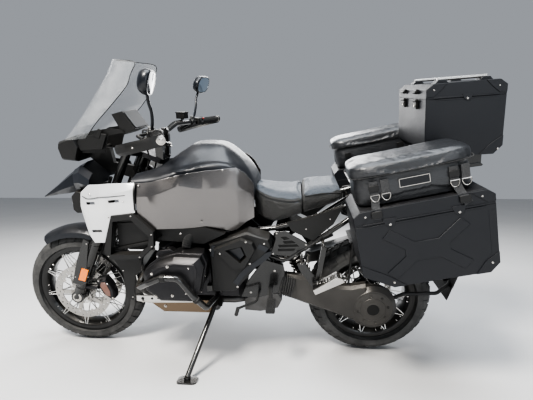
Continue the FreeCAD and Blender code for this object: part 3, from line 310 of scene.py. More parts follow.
def lens(name, colour, second, glow, strength):
    """Lamp lens: rows of small optics in the colour of the lens."""
    finish = Finish(name, Coat_Weight=1.0, Coat_Roughness=0.02, Emission_Strength=strength)
    x, y, z = finish.split(finish.stretched(900, 900, 900))
    rows = x.math("SINE", y) * x.math("SINE", z)
    finish.give(Base_Color=finish.mixed(rows.above(0.1, 0.5), colour, second),
                Roughness=0.12 + 0.1 * rows.above(0, 0.4),
                Emission_Color=finish.mixed(rows.above(0.3, 0.4), grey(0.0), glow))
    return finish.bump(rows, 0.0006).material


# Each coated finish: name, colour, second colour, metallic, roughness and its spread, grain,
# depth of the grain in metres, clear coat, dust
PLASTIC = coated("grained_plastic", grey(0.007), grey(0.012), 0.0, 0.48, 0.16, 900, 0.0004, 0.0, 0.06)
SATIN = coated("satin_plastic", (0.006, 0.008, 0.012, 1), (0.010, 0.012, 0.017, 1), 0.0, 0.34, 0.12, 420,
               0.00012, 0.15, 0.06)
PAINT = metallic_paint("grey_flake_paint", (0.105, 0.092, 0.088, 1), (0.125, 0.111, 0.105, 1))
WHITE = coated("silver_paint", (0.58, 0.59, 0.60, 1), (0.64, 0.645, 0.65, 1), 0.25, 0.24, 0.10, 700, 0.0001,
               1.0, 0.05)
CASTING = coated("coated_casting", (0.030, 0.030, 0.033, 1), (0.050, 0.049, 0.051, 1), 0.7, 0.36, 0.2, 520,
                 0.0005, 0.0, 0.08)
FRAME_COAT = coated("gloss_powder_coat", grey(0.010), grey(0.016), 0.0, 0.22, 0.12, 320, 0.0002, 0.6)
ARM_COAT = coated("swing_arm_coat", (0.060, 0.057, 0.054, 1), (0.088, 0.084, 0.079, 1), 0.6, 0.40, 0.2, 420,
                  0.0004, 0.0, 0.1)
# A near-black finish for sheets that stand in for the shade inside holes: painted shade
PAINTED_SHADE = coated("shaded_recess", grey(0.002), grey(0.004), 0.0, 0.7, 0.1, 300, 0.0001, 0.0, 0.0)
CASE_COAT = coated("case_powder_coat", (0.006, 0.007, 0.010, 1), (0.010, 0.011, 0.014, 1), 0.0, 0.46, 0.14,
                   480, 0.0003, 0.0, 0.05)
ALUMINIUM = brushed("brushed_aluminium", (0.62, 0.60, 0.57, 1), (1, 9, 9), 0.34)
EXHAUST = brushed("heat_stained_steel", (0.036, 0.033, 0.031, 1), (2, 6, 6), 0.5, 0.0002, 0.9)
STEEL = brushed("polished_steel", (0.60, 0.57, 0.53, 1), (5, 5, 5), 0.22, 0.0001)
SPOKE = brushed("spoke_steel", (0.66, 0.65, 0.63, 1), (3, 3, 3), 0.26, 0.0001)
DISC = brushed("ground_disc", (0.50, 0.48, 0.45, 1), (4, 1, 4), 0.30)
BRONZE = brushed("anodised_caliper", (0.26, 0.10, 0.06, 1), (3, 3, 3), 0.38)
RIM = coated("rim_coat", grey(0.006), grey(0.010), 0.2, 0.30, 0.14, 420, 0.0002, 0.4, 0.2)
TARP = tarpaulin("bag_tarpaulin")
WEBBING = grained("strap_webbing", (0.040, 0.041, 0.043, 1), (0.062, 0.063, 0.066, 1), 900, 0.0005, 0.7)
# The seat's last colour is a painted sky reflection on its upward faces
SEAT = grained("seat_cover", (0.016, 0.016, 0.016, 1), (0.028, 0.028, 0.027, 1), 620, 0.0007, 0.48,
               (0.075, 0.088, 0.105, 1))
RUBBER = grained("grip_rubber", grey(0.012), grey(0.020), 520, 0.0006, 0.66)
TYRE = tyre_rubber("tyre_rubber")
SCREEN = clear("clear_screen", (0.30, 0.33, 0.35, 1), 0.03, 0.09)
DISPLAY = coated("display_glass", (0.004, 0.005, 0.007, 1), (0.006, 0.007, 0.009, 1), 0.0, 0.5, 0.04, 60,
                 0.00002, 0.0, 0.0)
SWITCH_GREY = coated("switch_plastic", grey(0.09), grey(0.12), 0.0, 0.45, 0.1, 700, 0.0002)
RED_PLASTIC = coated("red_plastic", (0.35, 0.012, 0.010, 1), (0.42, 0.018, 0.014, 1), 0.0, 0.35, 0.1, 500,
                     0.0001, 0.3, 0.0)
# Two copies of the one mirror glass: a dark one for the left mirror, painted shade, and a bright bluish one
# for the right, a painted sky reflection
MIRROR_DARK = coated("mirror_in_shade", (0.05, 0.055, 0.06, 1), (0.06, 0.065, 0.07, 1), 1.0, 0.10, 0.02, 30,
                     0.00002, 0.0, 0.0)
LIT_MIRROR = coated("mirror_lit_copy", (0.48, 0.58, 0.68, 1), (0.52, 0.62, 0.72, 1), 1.0, 0.03, 0.02, 30, 0.00002,
                0.0, 0.0)
LAMP = lens("lamp_lens", (0.05, 0.055, 0.06, 1), (0.36, 0.38, 0.40, 1), grey(0.5), 0.0)
# The red and amber lenses glow faintly, reflectors among them, which are no lamps: painted light
RED = lens("red_lens", (0.20, 0.004, 0.004, 1), (0.42, 0.01, 0.01, 1), (0.5, 0.0, 0.0, 1), 0.05)
AMBER = lens("amber_lens", (0.75, 0.16, 0.01, 1), (0.95, 0.33, 0.03, 1), (1, 0.3, 0.0, 1), 0.12)


def skid_metal():
    """Light brushed wings above, and the same brushed metal brown below a height."""
    finish = Finish("skid_plate_metal", Metallic=1.0)
    lines = finish.noise(160, 2.0, place=finish.stretched(2, 2, 5))
    foot = (UPRIGHT.inverted() @ GROUND).z
    high = finish.split(finish.place)[2].above(foot + 0.352, 0.02)
    finish.give(Base_Color=finish.mixed(high, (0.20, 0.155, 0.115, 1), (0.60, 0.59, 0.57, 1)),
                Roughness=0.40 + 0.2 * (lines - 0.5))
    return finish.bump(lines, 0.0002).material


SKID = skid_metal()
SLOT_FINISH = {
    "painted_panel": PAINT, "white_panel": WHITE, "black_plastic": PLASTIC, "satin_black": SATIN,
    "engine_metal": CASTING, "frame_black": FRAME_COAT, "aluminium_plate": ALUMINIUM,
    "case_black": CASE_COAT, "bag_cloth": TARP, "seat_cover": SEAT, "tyre_rubber": TYRE,
    "rim_black": RIM, "disc_steel": DISC, "chrome_tube": STEEL, "clear_screen": SCREEN,
    "lamp_glass": LAMP, "red_lens": RED, "grip_rubber": RUBBER,
}
# What each finish of the added pieces counts as, where a piece names no other slot
NODE_FINISH = {
    "case_racks": FRAME_COAT, "rear_rack": FRAME_COAT, "pillion_footrests": FRAME_COAT, "skid_plate": SKID,
    "headlight": PLASTIC, "radiators": PLASTIC, "rear_shock": FRAME_COAT, "exhaust": EXHAUST,
    "swing_arm": ARM_COAT,
}
SLOT_OF = {part["node"]: part["material_slot"] for part in frame["record"]["subparts"]}
FINISH_OF = {name: NODE_FINISH.get(name, SLOT_FINISH[slot]) for name, slot in SLOT_OF.items()}
for name, node in nodes.items():
    node.data.materials.clear()
    node.data.materials.append(FINISH_OF[name])


# Floor and light
def pale_floor():
    finish = Finish("pale_floor")
    patches = finish.noise(1.6, 4.0)
    grit = finish.noise(260, 2.0)
    finish.give(Base_Color=finish.mixed(patches, grey(0.56), grey(0.62)), Roughness=0.75 + 0.1 * grit)
    return finish.bump(grit, 0.0006).material


FLOOR_HALF = 14.0
floor_mesh = bpy.data.meshes.new("floor")
floor_mesh.from_pydata([(x * FLOOR_HALF, y * FLOOR_HALF, 0) for x, y in ((-1, -1), (1, -1), (1, 1), (-1, 1))],
                       [], [(0, 1, 2, 3)])
floor = bpy.data.objects.new("floor", floor_mesh)
floor.data.materials.append(pale_floor())
scene.collection.objects.link(floor)

LIGHTS = (
    # name, place, size, power, colour: the photograph's sun comes from in front and above
    ("key", (1.5, 3.4, 4.6), 1.2, 480, (1.0, 0.96, 0.90)),
    ("front_fill", (-2.6, 4.4, 1.8), 3.0, 60, (0.88, 0.94, 1.0)),
    ("top", (-0.4, 0.6, 4.8), 3.0, 170, (0.90, 0.95, 1.0)),
    ("far_side", (0.4, -4.2, 3.0), 3.0, 130, (1.0, 1.0, 1.0)),
)
for name, place, size, power, colour in LIGHTS:
    lamp = bpy.data.objects.new(name, bpy.data.lights.new(name, "AREA"))
    lamp.data.size, lamp.data.energy, lamp.data.color = size, power, colour
    lamp.location = place
    lamp.rotation_euler = (Vector((0, 0, 0.6)) - Vector(place)).to_track_quat("-Z", "Y").to_euler()
    scene.collection.objects.link(lamp)

world = bpy.data.worlds.new("studio")
scene.world = world
world.use_nodes = True
world.node_tree.nodes["Background"].inputs["Color"].default_value = (0.78, 0.82, 0.88, 1)
world.node_tree.nodes["Background"].inputs["Strength"].default_value = 0.36
scene.view_settings.view_transform = "AgX"
scene.view_settings.look = "AgX - High Contrast"


# Pieces on show
WELD = 0.00002
EDGE_ANGLE = math.radians(32)


def evaluated(piece):
    """The plain mesh of a piece with its modifiers carried out."""
    bpy.context.view_layer.update()
    return bpy.data.meshes.new_from_object(piece.evaluated_get(bpy.context.evaluated_depsgraph_get()))


def welded(node):
    """A CAD node's mesh, ready to be edited, with its doubled points joined."""
    shape = bmesh.new()
    shape.from_mesh(nodes[node].data)
    bmesh.ops.remove_doubles(shape, verts=shape.verts, dist=WELD)
    return shape


def broken_edges(piece, width):
    """Rounds the sharp edges of a piece; width is in mm."""
    bevel = piece.modifiers.new("broken_edges", "BEVEL")
    bevel.width, bevel.segments = width / 1000, 2
    bevel.limit_method, bevel.angle_limit = "ANGLE", EDGE_ANGLE


def shown(name, mesh, finish, body):
    """Puts a mesh of places in the frame on show, riding on its body."""
    piece = bpy.data.objects.new(name, mesh)
    scene.collection.objects.link(piece)
    piece.data.materials.clear()
    piece.data.materials.append(finish)
    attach(piece, body)
    return piece


def eased(node, width):
    """A copy of a CAD node with its edges broken, which stands in for it."""
    mesh = nodes[node].data.copy()
    shape = welded(node)
    bmesh.ops.dissolve_limit(shape, angle_limit=math.radians(0.6), verts=shape.verts, edges=shape.edges)
    shape.to_mesh(mesh)
    shape.free()
    for face in mesh.polygons:
        face.use_smooth = True
    piece = shown(node + "_skin", mesh, FINISH_OF[node], nodes[node]["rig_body"])
    broken_edges(piece, width)
    weighted = piece.modifiers.new("normals", "WEIGHTED_NORMAL")
    weighted.keep_sharp = False
    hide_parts(node)
    return piece


# Shapes, drawn in millimetres on the upright machine
def frame_at(x, z, pitch_deg):
    """The luggage's own frame: local x runs back along the case, local z up, rear raised."""
    pitch = math.radians(pitch_deg)
    along, up = (-math.cos(pitch), 0, math.sin(pitch)), (math.sin(pitch), 0, math.cos(pitch))
    turn = Matrix((along, (0, 1, 0), up)).transposed().to_4x4()
    return Matrix.Translation((x, 0, z)) @ turn


MACHINE = Matrix.Identity(4)
SIDE_CASE = frame_at(158, 864, 11.7)
TOP_CASE = frame_at(-142, 1312, 3.5)
TO_FRAME = PARKED @ Matrix.Scale(0.001, 4)


def smooth_path(points, per_run=6):
    """Points along a soft curve through the given ones."""
    corners = [Vector(point) for point in points]
    ends = [corners[0] * 2 - corners[1]] + corners + [corners[-1] * 2 - corners[-2]]
    path = []
    for a, b, c, e in zip(ends, ends[1:], ends[2:], ends[3:]):
        for step in range(per_run):
            t = step / per_run
            path.append(0.5 * (2 * b + (c - a) * t + (2 * a - 5 * b + 4 * c - e) * t * t
                               + (3 * b - a - 3 * c + e) * t ** 3))
    return path + [corners[-1]]


class Shape:
    """A mesh under construction, in its own frame on the upright machine."""

    def __init__(self, place=MACHINE):
        self.mesh = bmesh.new()
        self.place = place

    def rings(self, rings, caps=True):
        """A skin over rings of points, each with as many points as the others."""
        rows = [[self.mesh.verts.new(point) for point in ring] for ring in rings]
        count = len(rows[0])
        for near, far in zip(rows, rows[1:]):
            for index in range(count):
                after = (index + 1) % count
                self.mesh.faces.new((near[index], near[after], far[after], far[index]))
        if caps:
            self.mesh.faces.new(rows[0][::-1])
            self.mesh.faces.new(rows[-1])
        return self

    def slab(self, outline, near, far):
        """A plate with an outline of (x, z) points between two places across the machine."""
        return self.rings([[(x, y, z) for x, z in outline] for y in sorted((near, far))])

    def box(self, middle, size, turn=None):
        corners = [(-1, -1), (1, -1), (1, 1), (-1, 1)]
        turn = turn or Matrix.Identity(3)
        wide, deep, tall = (edge / 2 for edge in size)
        return self.rings([[Vector(middle) + turn @ Vector((x * wide, y * deep, z * tall))
                            for x, y in corners] for z in (-1, 1)])

    def lathe(self, start, direction, profile, sides=24, caps=True):
        """A turned piece: profile is (distance along, radius)."""
        start, axis = Vector(start), Vector(direction).normalized()
        side = axis.orthogonal().normalized()
        across = axis.cross(side)
        turns = [2 * math.pi * step / sides for step in range(sides)]
        return self.rings([[start + axis * along + (side * math.cos(turn) + across * math.sin(turn)) * radius
                            for turn in turns] for along, radius in profile], caps=caps)

    def bar(self, start, end, radius, sides=16):
        length = (Vector(end) - Vector(start)).length
        ease = min(0.3 * radius, 0.2 * length)
        profile = ((0, radius - ease), (ease, radius), (length - ease, radius), (length, radius - ease))
        return self.lathe(start, Vector(end) - Vector(start), profile, sides)

    def hose(self, points, radius, sides=10, per_run=6, closed=False):
        path = smooth_path(points, per_run) if per_run else [Vector(point) for point in points]
        count = len(path)
        rings = []
        side = None
        for index, point in enumerate(path):
            back = path[(index - 1) % count] if closed else path[max(index - 1, 0)]
            ahead = path[(index + 1) % count] if closed else path[min(index + 1, count - 1)]
            along = (ahead - back).normalized()
            side = (side - along * side.dot(along)).normalized() if side else along.orthogonal().normalized()
            across = along.cross(side)
            rings.append([point + (side * math.cos(turn) + across * math.sin(turn)) * radius
                          for turn in (2 * math.pi * step / sides for step in range(sides))])
        return self.rings(rings + ([rings[0]] if closed else []), caps=not closed)

    def ribbon(self, points, wide, thick, across, per_run=4):
        """A strap along points, flat towards the direction across its own width."""
        path = smooth_path(points, per_run)
        across = Vector(across).normalized()
        rings = []
        for index, point in enumerate(path):
            along = (path[min(index + 1, len(path) - 1)] - path[max(index - 1, 0)]).normalized()
            wide_way = (across - along * across.dot(along)).normalized()
            out = along.cross(wide_way)
            rings.append([point + wide_way * (a * wide / 2) + out * (b * thick / 2)
                          for a, b in ((-1, -1), (1, -1), (1, 1), (-1, 1))])
        return self.rings(rings)

    def take(self, mesh):
        """Adds a finished mesh, which is then dropped."""
        self.mesh.from_mesh(mesh)
        bpy.data.meshes.remove(mesh)
        return self

    def both(self):
        """The same again on the other side."""
        copy = bmesh.ops.duplicate(self.mesh,
                                   geom=self.mesh.verts[:] + self.mesh.edges[:] + self.mesh.faces[:])
        for item in copy["geom"]:
            if isinstance(item, bmesh.types.BMVert):
                item.co.y = -item.co.y
        return self

    def baked(self, name, sharp=35):
        """The finished mesh at its place in the frame, with its faces outward."""
        bmesh.ops.remove_doubles(self.mesh, verts=self.mesh.verts, dist=0.01)
        self.mesh.transform(TO_FRAME @ self.place)
        bmesh.ops.recalc_face_normals(self.mesh, faces=self.mesh.faces)
        mesh = bpy.data.meshes.new(name)
        self.mesh.to_mesh(mesh)
        self.mesh.free()
        mesh.polygons.foreach_set("use_smooth", [True] * len(mesh.polygons))
        mesh.set_sharp_from_angle(angle=math.radians(sharp))
        return mesh

    def show(self, name, finish, body="chassis", slot=None, edge=0.0, sharp=35):
        """Puts the finished shape on show; edge is the width of its broken edges."""
        piece = shown(name, self.baked(name, sharp), finish, body)
        if edge:
            broken_edges(piece, edge)
        return piece


# Repeated pieces, placed by Geometry Nodes
def node_group(name, inputs):
    """An empty tree with a geometry output and the named inputs."""
    tree = bpy.data.node_groups.new(name, "GeometryNodeTree")
    tree.interface.new_socket("Geometry", in_out="OUTPUT", socket_type="NodeSocketGeometry")
    tree.interface.new_socket("Geometry", in_out="INPUT", socket_type="NodeSocketGeometry")
    for word, kind in inputs:
        tree.interface.new_socket(word, in_out="INPUT", socket_type="NodeSocket" + kind)
    return tree, tree.nodes.new("NodeGroupInput"), tree.nodes.new("NodeGroupOutput")


def number_node(tree, operation, *values):
    """What a sum of plain numbers and sockets comes to."""
    node = tree.nodes.new("ShaderNodeMath")
    node.operation = operation
    for entry, value in zip(node.inputs, values):
        if isinstance(value, (int, float)):
            entry.default_value = value
        else:
            tree.links.new(value, entry)
    return node.outputs[0]


def finish_tree(tree, points, given, leaving, rotation, scale=None):
    """Copies of the template on the points, made real and given their finish."""
    template = tree.nodes.new("GeometryNodeObjectInfo")
    copies = tree.nodes.new("GeometryNodeInstanceOnPoints")
    real = tree.nodes.new("GeometryNodeRealizeInstances")
    coat = tree.nodes.new("GeometryNodeSetMaterial")
    tree.links.new(given.outputs["Template"], template.inputs["Object"])
    tree.links.new(points, copies.inputs["Points"])
    tree.links.new(template.outputs["Geometry"], copies.inputs["Instance"])
    tree.links.new(rotation, copies.inputs["Rotation"])
    if scale:
        tree.links.new(scale, copies.inputs["Scale"])
    tree.links.new(copies.outputs[0], real.inputs[0])
    tree.links.new(real.outputs[0], coat.inputs["Geometry"])
    tree.links.new(given.outputs["Finish"], coat.inputs["Material"])
    tree.links.new(coat.outputs[0], leaving.inputs[0])


def tree_round_axle():
    """Copies at even steps round the y axis, each turned with its place."""
    tree, given, leaving = node_group("round_an_axle", (
        ("Template", "Object"), ("Count", "Int"), ("Radius", "Float"), ("Across", "Float"),
        ("Start", "Float"), ("Finish", "Material")))
    points = tree.nodes.new("GeometryNodePoints")
    index = tree.nodes.new("GeometryNodeInputIndex").outputs[0]
    share = number_node(tree, "DIVIDE", index, given.outputs["Count"])
    angle = number_node(tree, "MULTIPLY_ADD", share, 2 * math.pi, given.outputs["Start"])
    place = tree.nodes.new("ShaderNodeCombineXYZ")
    turn = tree.nodes.new("ShaderNodeCombineXYZ")
    for entry, operation in ((0, "SINE"), (2, "COSINE")):
        reach = number_node(tree, "MULTIPLY", number_node(tree, operation, angle), given.outputs["Radius"])
        tree.links.new(reach, place.inputs[entry])
    tree.links.new(given.outputs["Across"], place.inputs[1])
    tree.links.new(angle, turn.inputs[1])
    tree.links.new(given.outputs["Count"], points.inputs["Count"])
    tree.links.new(place.outputs[0], points.inputs["Position"])
    finish_tree(tree, points.outputs[0], given, leaving, turn.outputs[0])
    return tree


def tree_on_points():
    """Copies on points, each looking along its point's facing and sized by its point's size."""
    tree, given, leaving = node_group("on_points", (("Template", "Object"), ("Finish", "Material")))
    facing = tree.nodes.new("GeometryNodeInputNamedAttribute")
    facing.data_type = "FLOAT_VECTOR"
    facing.inputs["Name"].default_value = "facing"
    size = tree.nodes.new("GeometryNodeInputNamedAttribute")
    size.data_type = "FLOAT_VECTOR"
    size.inputs["Name"].default_value = "size"
    aim = tree.nodes.new("FunctionNodeAlignRotationToVector")
    aim.axis = "Z"
    tree.links.new(facing.outputs["Attribute"], aim.inputs["Vector"])
    finish_tree(tree, given.outputs["Geometry"], given, leaving, aim.outputs[0], size.outputs["Attribute"])
    return tree


ROUND_AXLE = tree_round_axle()
ON_POINTS = tree_on_points()


def run_tree(tree, mesh, values):
    """The plain mesh that the tree makes with those values."""
    piece = bpy.data.objects.new("made_by_nodes", mesh)
    scene.collection.objects.link(piece)
    modifier = piece.modifiers.new("nodes", "NODES")
    modifier.node_group = tree
    for item in tree.interface.items_tree:
        if item.in_out == "INPUT" and item.name in values:
            modifier[item.identifier] = values[item.name]
    made = evaluated(piece)
    bpy.data.objects.remove(piece)
    return made


def template(name, shape):
    """A small object that is repeated; it is not shown itself."""
    mesh = bpy.data.meshes.new(name)
    bmesh.ops.recalc_face_normals(shape.mesh, faces=shape.mesh.faces)
    shape.mesh.to_mesh(mesh)
    shape.mesh.free()
    return bpy.data.objects.new(name, mesh)


def round_axle(pattern, count, radius, across, start, finish):
    """Copies of a pattern round an axle, at that radius and that far across."""
    values = {"Template": pattern, "Count": count, "Radius": float(radius), "Across": float(across),
              "Start": float(start), "Finish": finish}
    return run_tree(ROUND_AXLE, bpy.data.meshes.new("axle"), values)


def on_points(pattern, rows, finish):
    """rows are (place, facing, size)."""
    mesh = bpy.data.meshes.new("points")
    mesh.from_pydata([row[0] for row in rows], [], [])
    for word, column in (("facing", 1), ("size", 2)):
        layer = mesh.attributes.new(word, "FLOAT_VECTOR", "POINT")
        for index, row in enumerate(rows):
            value = row[column]
            layer.data[index].vector = value if isinstance(value, (tuple, Vector)) else (value,) * 3
    return run_tree(ON_POINTS, mesh, {"Template": pattern, "Finish": finish})


# Tyres: a carcass with block tread cut down to it
def crown(outer, crown_r, y):
    """Radius of the tread's top at that distance from the middle."""
    return outer - crown_r + math.sqrt(crown_r ** 2 - y ** 2)


def tread_block(outer, crown_r, low, high, long, slant, deep):
    """One block of tread, standing up from the carcass."""
    rows = []
    for y in (low, (low + high) / 2, high):
        top = crown(outer, crown_r, y)
        shift = slant * (y - low)
        rows.append([(shift + x, y, z) for x, z in (
            (-long / 2, top - deep), (-long / 2 + 1.2, top - 0.5), (long / 2 - 1.2, top - 0.5),
            (long / 2, top - deep))])
    return template("tread_block", Shape().rings(rows))


def mirrored_block(block):
    """The same block of tread for the other side of the tyre."""
    copy = block.copy()
    copy.data = block.data.copy()
    for vertex in copy.data.vertices:
        vertex.co.y = -vertex.co.y
    copy.data.flip_normals()
    return copy


WHEELS = (
    # end, tyre half width, crown radius, tyre radius, rim radius, rim half width, hub radius, axle
    ("front", 60, 60, 325, 255, 44, 32, FRONT_AXLE),
    ("rear", 85, 85, 318, 229, 64, 55, REAR_AXLE),
)
SPOKE_GROUPS = 10
RIM_BAND, HUB_FLANGE = 41.5, 15
TREAD = {
    # rows as (from, to, length, slant, how many, turned by)
    "front": (((3, 22, 40, 0.55, 38, 0.0), (28, 54, 42, 0.35, 38, 0.5)), 5.5),
    "rear": (((4, 28, 42, 0.55, 34, 0.0), (35, 56, 40, 0.45, 34, 0.5), (62, 78, 40, 0.25, 34, 0.1)), 6),
}


def tyre(end, half, crown_r, outer, rim, rim_half, centre):
    """One tyre: its carcass, with rows of tread blocks on both sides of the middle."""
    rows, deep = TREAD[end]
    shoulder = 0.93 * half
    shoulder_r = crown(outer, crown_r, shoulder) - deep
    seat_y, seat_r = rim_half - 5.3, rim + 4
    wall_r = (shoulder_r + seat_r) / 2
    face = [(step * shoulder / 6, crown(outer, crown_r, step * shoulder / 6) - deep) for step in range(7)]
    face += [(half - 1, shoulder_r - 12), (half - 0.6, wall_r + 16), (half - 2.2, wall_r + 14),
             (half - 0.4, wall_r + 4), (half - 2, wall_r - 8), (half - 1.6, wall_r - 10),
             (half - 7, seat_r + 12), (half - 9, seat_r + 11), (seat_y + 0.6, seat_r + 3),
             (seat_y, seat_r - 1), (seat_y - 12, rim - 9)]
    profile = [(-y, r) for y, r in reversed(face)] + face[1:]
    shape = Shape(Matrix.Translation(centre))
    shape.lathe((0, 0, 0), (0, 1, 0), profile, 120, caps=False)
    for low, high, long, slant, count, turned_by in rows:
        block = tread_block(outer, crown_r, low, high, long, slant, deep + 1.5)
        for side, pattern in ((0, block), (0.5, mirrored_block(block))):
            start = 2 * math.pi * (turned_by + side) / count
            shape.take(round_axle(pattern, count, 0, 0, start, TYRE))
    piece = shape.show(end + "_tyre_tread", TYRE, end + "_wheel", sharp=40)
    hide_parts(end + "_tyre")


for end, half, crown_r, outer, rim, rim_half, hub_r, centre in WHEELS:
    tyre(end, half, crown_r, outer, rim, rim_half, centre)

# Bolt heads of three kinds
hexagon = Shape().lathe((0, 0, 0), (0, 0, 1), ((0, 1.5), (0.25, 1.5), (0.3, 1.0), (0.9, 1.0), (1.0, 0.88)), 6)
BOLT = template("hexagon_bolt", hexagon)
BUTTON = template("button_bolt", Shape().lathe((0, 0, 0), (0, 0, 1), (
    (0, 1.0), (0.3, 1.0), (0.52, 0.72), (0.55, 0.42), (0.3, 0.38), (0.28, 0.02)), 10))
RIVET = template("rivet", Shape().lathe((0, 0, 0), (0, 0, 1),
                                        ((0, 1.0), (0.25, 0.9), (0.45, 0.4), (0.48, 0.02)), 8))


def fastened(name, pattern, rows, body="chassis", both=False, place=MACHINE):
    """Steel bolts or rivets where rows say: (x, y, z, facing, radius)."""
    shape = Shape(place)
    places = [((x, y, z), Vector(facing), size) for x, y, z, facing, size in rows]
    shape.take(on_points(pattern, places, STEEL))
    if both:
        shape.both()
    return shape.show(name, STEEL, body)


OUT = (0, 1, 0)

# Wheels: bright spokes, a dark rim with its nipples, a cast hub
def wheel(end, rim, rim_half, hub_r, centre):
    """One wheel: the CAD's skin with its three finishes, and the nipples of its spokes."""
    node = end + "_wheel"
    mesh = nodes[node].data.copy()
    shape = welded(node)
    back = PARKED.inverted()
    middle = Vector(centre) / 1000
    # Faces of the rim have finish 0, of the spokes 1 and of the hub 2
    finish_of_face = []
    for face in shape.faces:
        place = back @ face.calc_center_median() - middle
        reach = 1000 * math.hypot(place.x, place.z)
        inside_rim = reach < rim - RIM_BAND
        finish_of_face.append(1 if inside_rim and reach > hub_r + HUB_FLANGE else 2 if inside_rim else 0)
        face.smooth = True
    shape.to_mesh(mesh)
    shape.free()
    mesh.set_sharp_from_angle(angle=math.radians(35))
    piece = shown(node + "_skin", mesh, RIM, node)
    piece.data.materials.append(SPOKE)
    piece.data.materials.append(CASTING)
    mesh.polygons.foreach_set("material_index", finish_of_face)
    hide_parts(node)
    trim = Shape(Matrix.Translation(centre))
    nipple_form = ((0, 3.2), (5, 3.6), (8, 3.0), (9, 2.2))
    nipple = template("nipple", Shape().lathe((0, 0, -9), (0, 0, 1), nipple_form, 6))
    for side, across in ((0, rim_half - 8), (0.25, 8 - rim_half)):
        for pair_end in (-0.12, 0.12):
            start = 2 * math.pi * (side + 0.5 + pair_end) / SPOKE_GROUPS
            trim.take(round_axle(nipple, SPOKE_GROUPS, rim - 30, across, start, SPOKE))
    trim.show(end + "_nipples", SPOKE, node)


for end, half, crown_r, outer, rim, rim_half, hub_r, centre in WHEELS:
    wheel(end, rim, rim_half, hub_r, centre)

# Front discs: bobbins, bolts and the toothed ring for the wheel's sensor, with rings at the axle's ends
for side in (-1, 1):
    ring = Shape(Matrix.Translation(FRONT_AXLE))
    face = side * 72.5
    tooth = template("sensor_tooth", Shape().box((0, 0, 0), (3, 1.6, 9)))
    ring.take(round_axle(tooth, 48, 60, face + side * 3, 0, STEEL))
    for wide in (56, 66):
        band = ((0, wide), (1.6, wide), (1.6, wide - 2), (0, wide - 2))
        ring.lathe((0, face + side * 2.2, 0), (0, side, 0), band, 48, caps=False)
    bobbin = template("bobbin", Shape().lathe((0, side * 72, 0), (0, side, 0),
                                              ((0, 7), (2.4, 7), (3, 4), (2, 1)), 12))
    ring.take(round_axle(bobbin, 10, 114, 0, 0.31, STEEL))
    hub_bolt = template("hub_bolt", Shape().lathe((0, side * 72, 0), (0, side, 0),
                                                  ((0, 5), (4, 5), (4.4, 3), (2, 2)), 6))
    ring.take(round_axle(hub_bolt, 5, 46, 0, 0, STEEL))
    ring.show("front_disc_trim_" + ("left" if side > 0 else "right"), STEEL, "front_wheel")

axle = Shape(Matrix.Translation(FRONT_AXLE))
axle.lathe((0, 128, 0), (0, 1, 0), ((0, 24), (2, 24), (3, 22), (3, 17), (1.5, 16), (1.5, 11), (0, 10)), 32)
axle.both().show("front_axle_rings", STEEL, "steering")

# Fork: reflectors, wiper rings, calipers, and brake and sensor pipes along the legs
fork_way = Vector((-math.sin(FORK_TILT), 0, math.cos(FORK_TILT)))
fork_front = Vector((math.cos(FORK_TILT), 0, math.sin(FORK_TILT)))

FORK_FOOT_X = 1540


def on_fork(height, ahead=0, y=105):
    """A place along the left fork leg, measured up from the axle."""
    return Vector((FORK_FOOT_X, y, FRONT_AXLE[2])) + fork_way * height + fork_front * ahead


reflector = Shape().slab(((1476, 503), (1440, 492), (1468, 427), (1504, 437)), 134, 140)
reflector.both().show("fork_reflectors", AMBER, "steering", edge=1.2)
reflector_frame = Shape().slab(((1480, 509), (1434, 496), (1465, 420), (1510, 433)), 131, 136)
reflector_frame.both().show("reflector_frames", PLASTIC, "steering", edge=1.2)
rings = Shape()
for low, high, wide in ((432, 441, 29), (441, 447, 25), (418, 422, 28.4), (330, 334, 28.4), (60, 64, 28.4)):
    rings.bar(on_fork(low), on_fork(high), wide, 28)
rings.both().show("fork_wipers", PLASTIC, "steering")
pipes = Shape()
pipes.hose((on_fork(395, -30, 88), on_fork(300, -34, 96), on_fork(200, -34, 108), on_fork(130, -44, 112),
            (1400, 108, 434)), 3.4)
pipes.hose((on_fork(395, -34, 80), on_fork(260, -36, 88), on_fork(150, -33, 96), on_fork(60, -26, 84),
            (1480, 82, 300)), 2.2)
pipes.both().show("fork_pipes", RUBBER, "steering")
clips = Shape()
for height in (300, 200):
    clips.box(on_fork(height, -24, 104), (20, 26, 9), Matrix.Rotation(-FORK_TILT, 3, "Y"))
clips.both().show("pipe_clips", PLASTIC, "steering", edge=1)
caliper_face = Shape().slab(((1364, 322), (1386, 326), (1414, 384), (1406, 404), (1382, 404), (1362, 350)),
                            99, 104.6)
caliper_face.both().show("caliper_faces", BRONZE, "steering", edge=1.2)
fastened("caliper_bolts", BOLT, (
    (1352, 101, 312, OUT, 5), (1418, 101, 412, OUT, 5), (1398, 104.5, 336, OUT, 3.4),
    (1372, 104.5, 396, OUT, 3.4)), "steering", both=True)
fastened("fork_cover_bolts", BUTTON, (
    (1430, 134.6, 638, OUT, 4), (1452, 135, 452, OUT, 4), (1520, 135, 452, OUT, 4)), "steering", both=True)
fastened("bridge_bolts", BOLT, ((1010, 0, 1113, (-0.44, 0, 0.9), 16),), "steering")
fastened("clamp_bolts", BOLT, (
    (1026, 45, 1192, (0, 0, 1), 4), (1045, 45, 1192, (0, 0, 1), 4), (1026, 38, 1192, (0, 0, 1), 3),
    (1045, 52, 1192, (0, 0, 1), 3)), "steering", both=True)

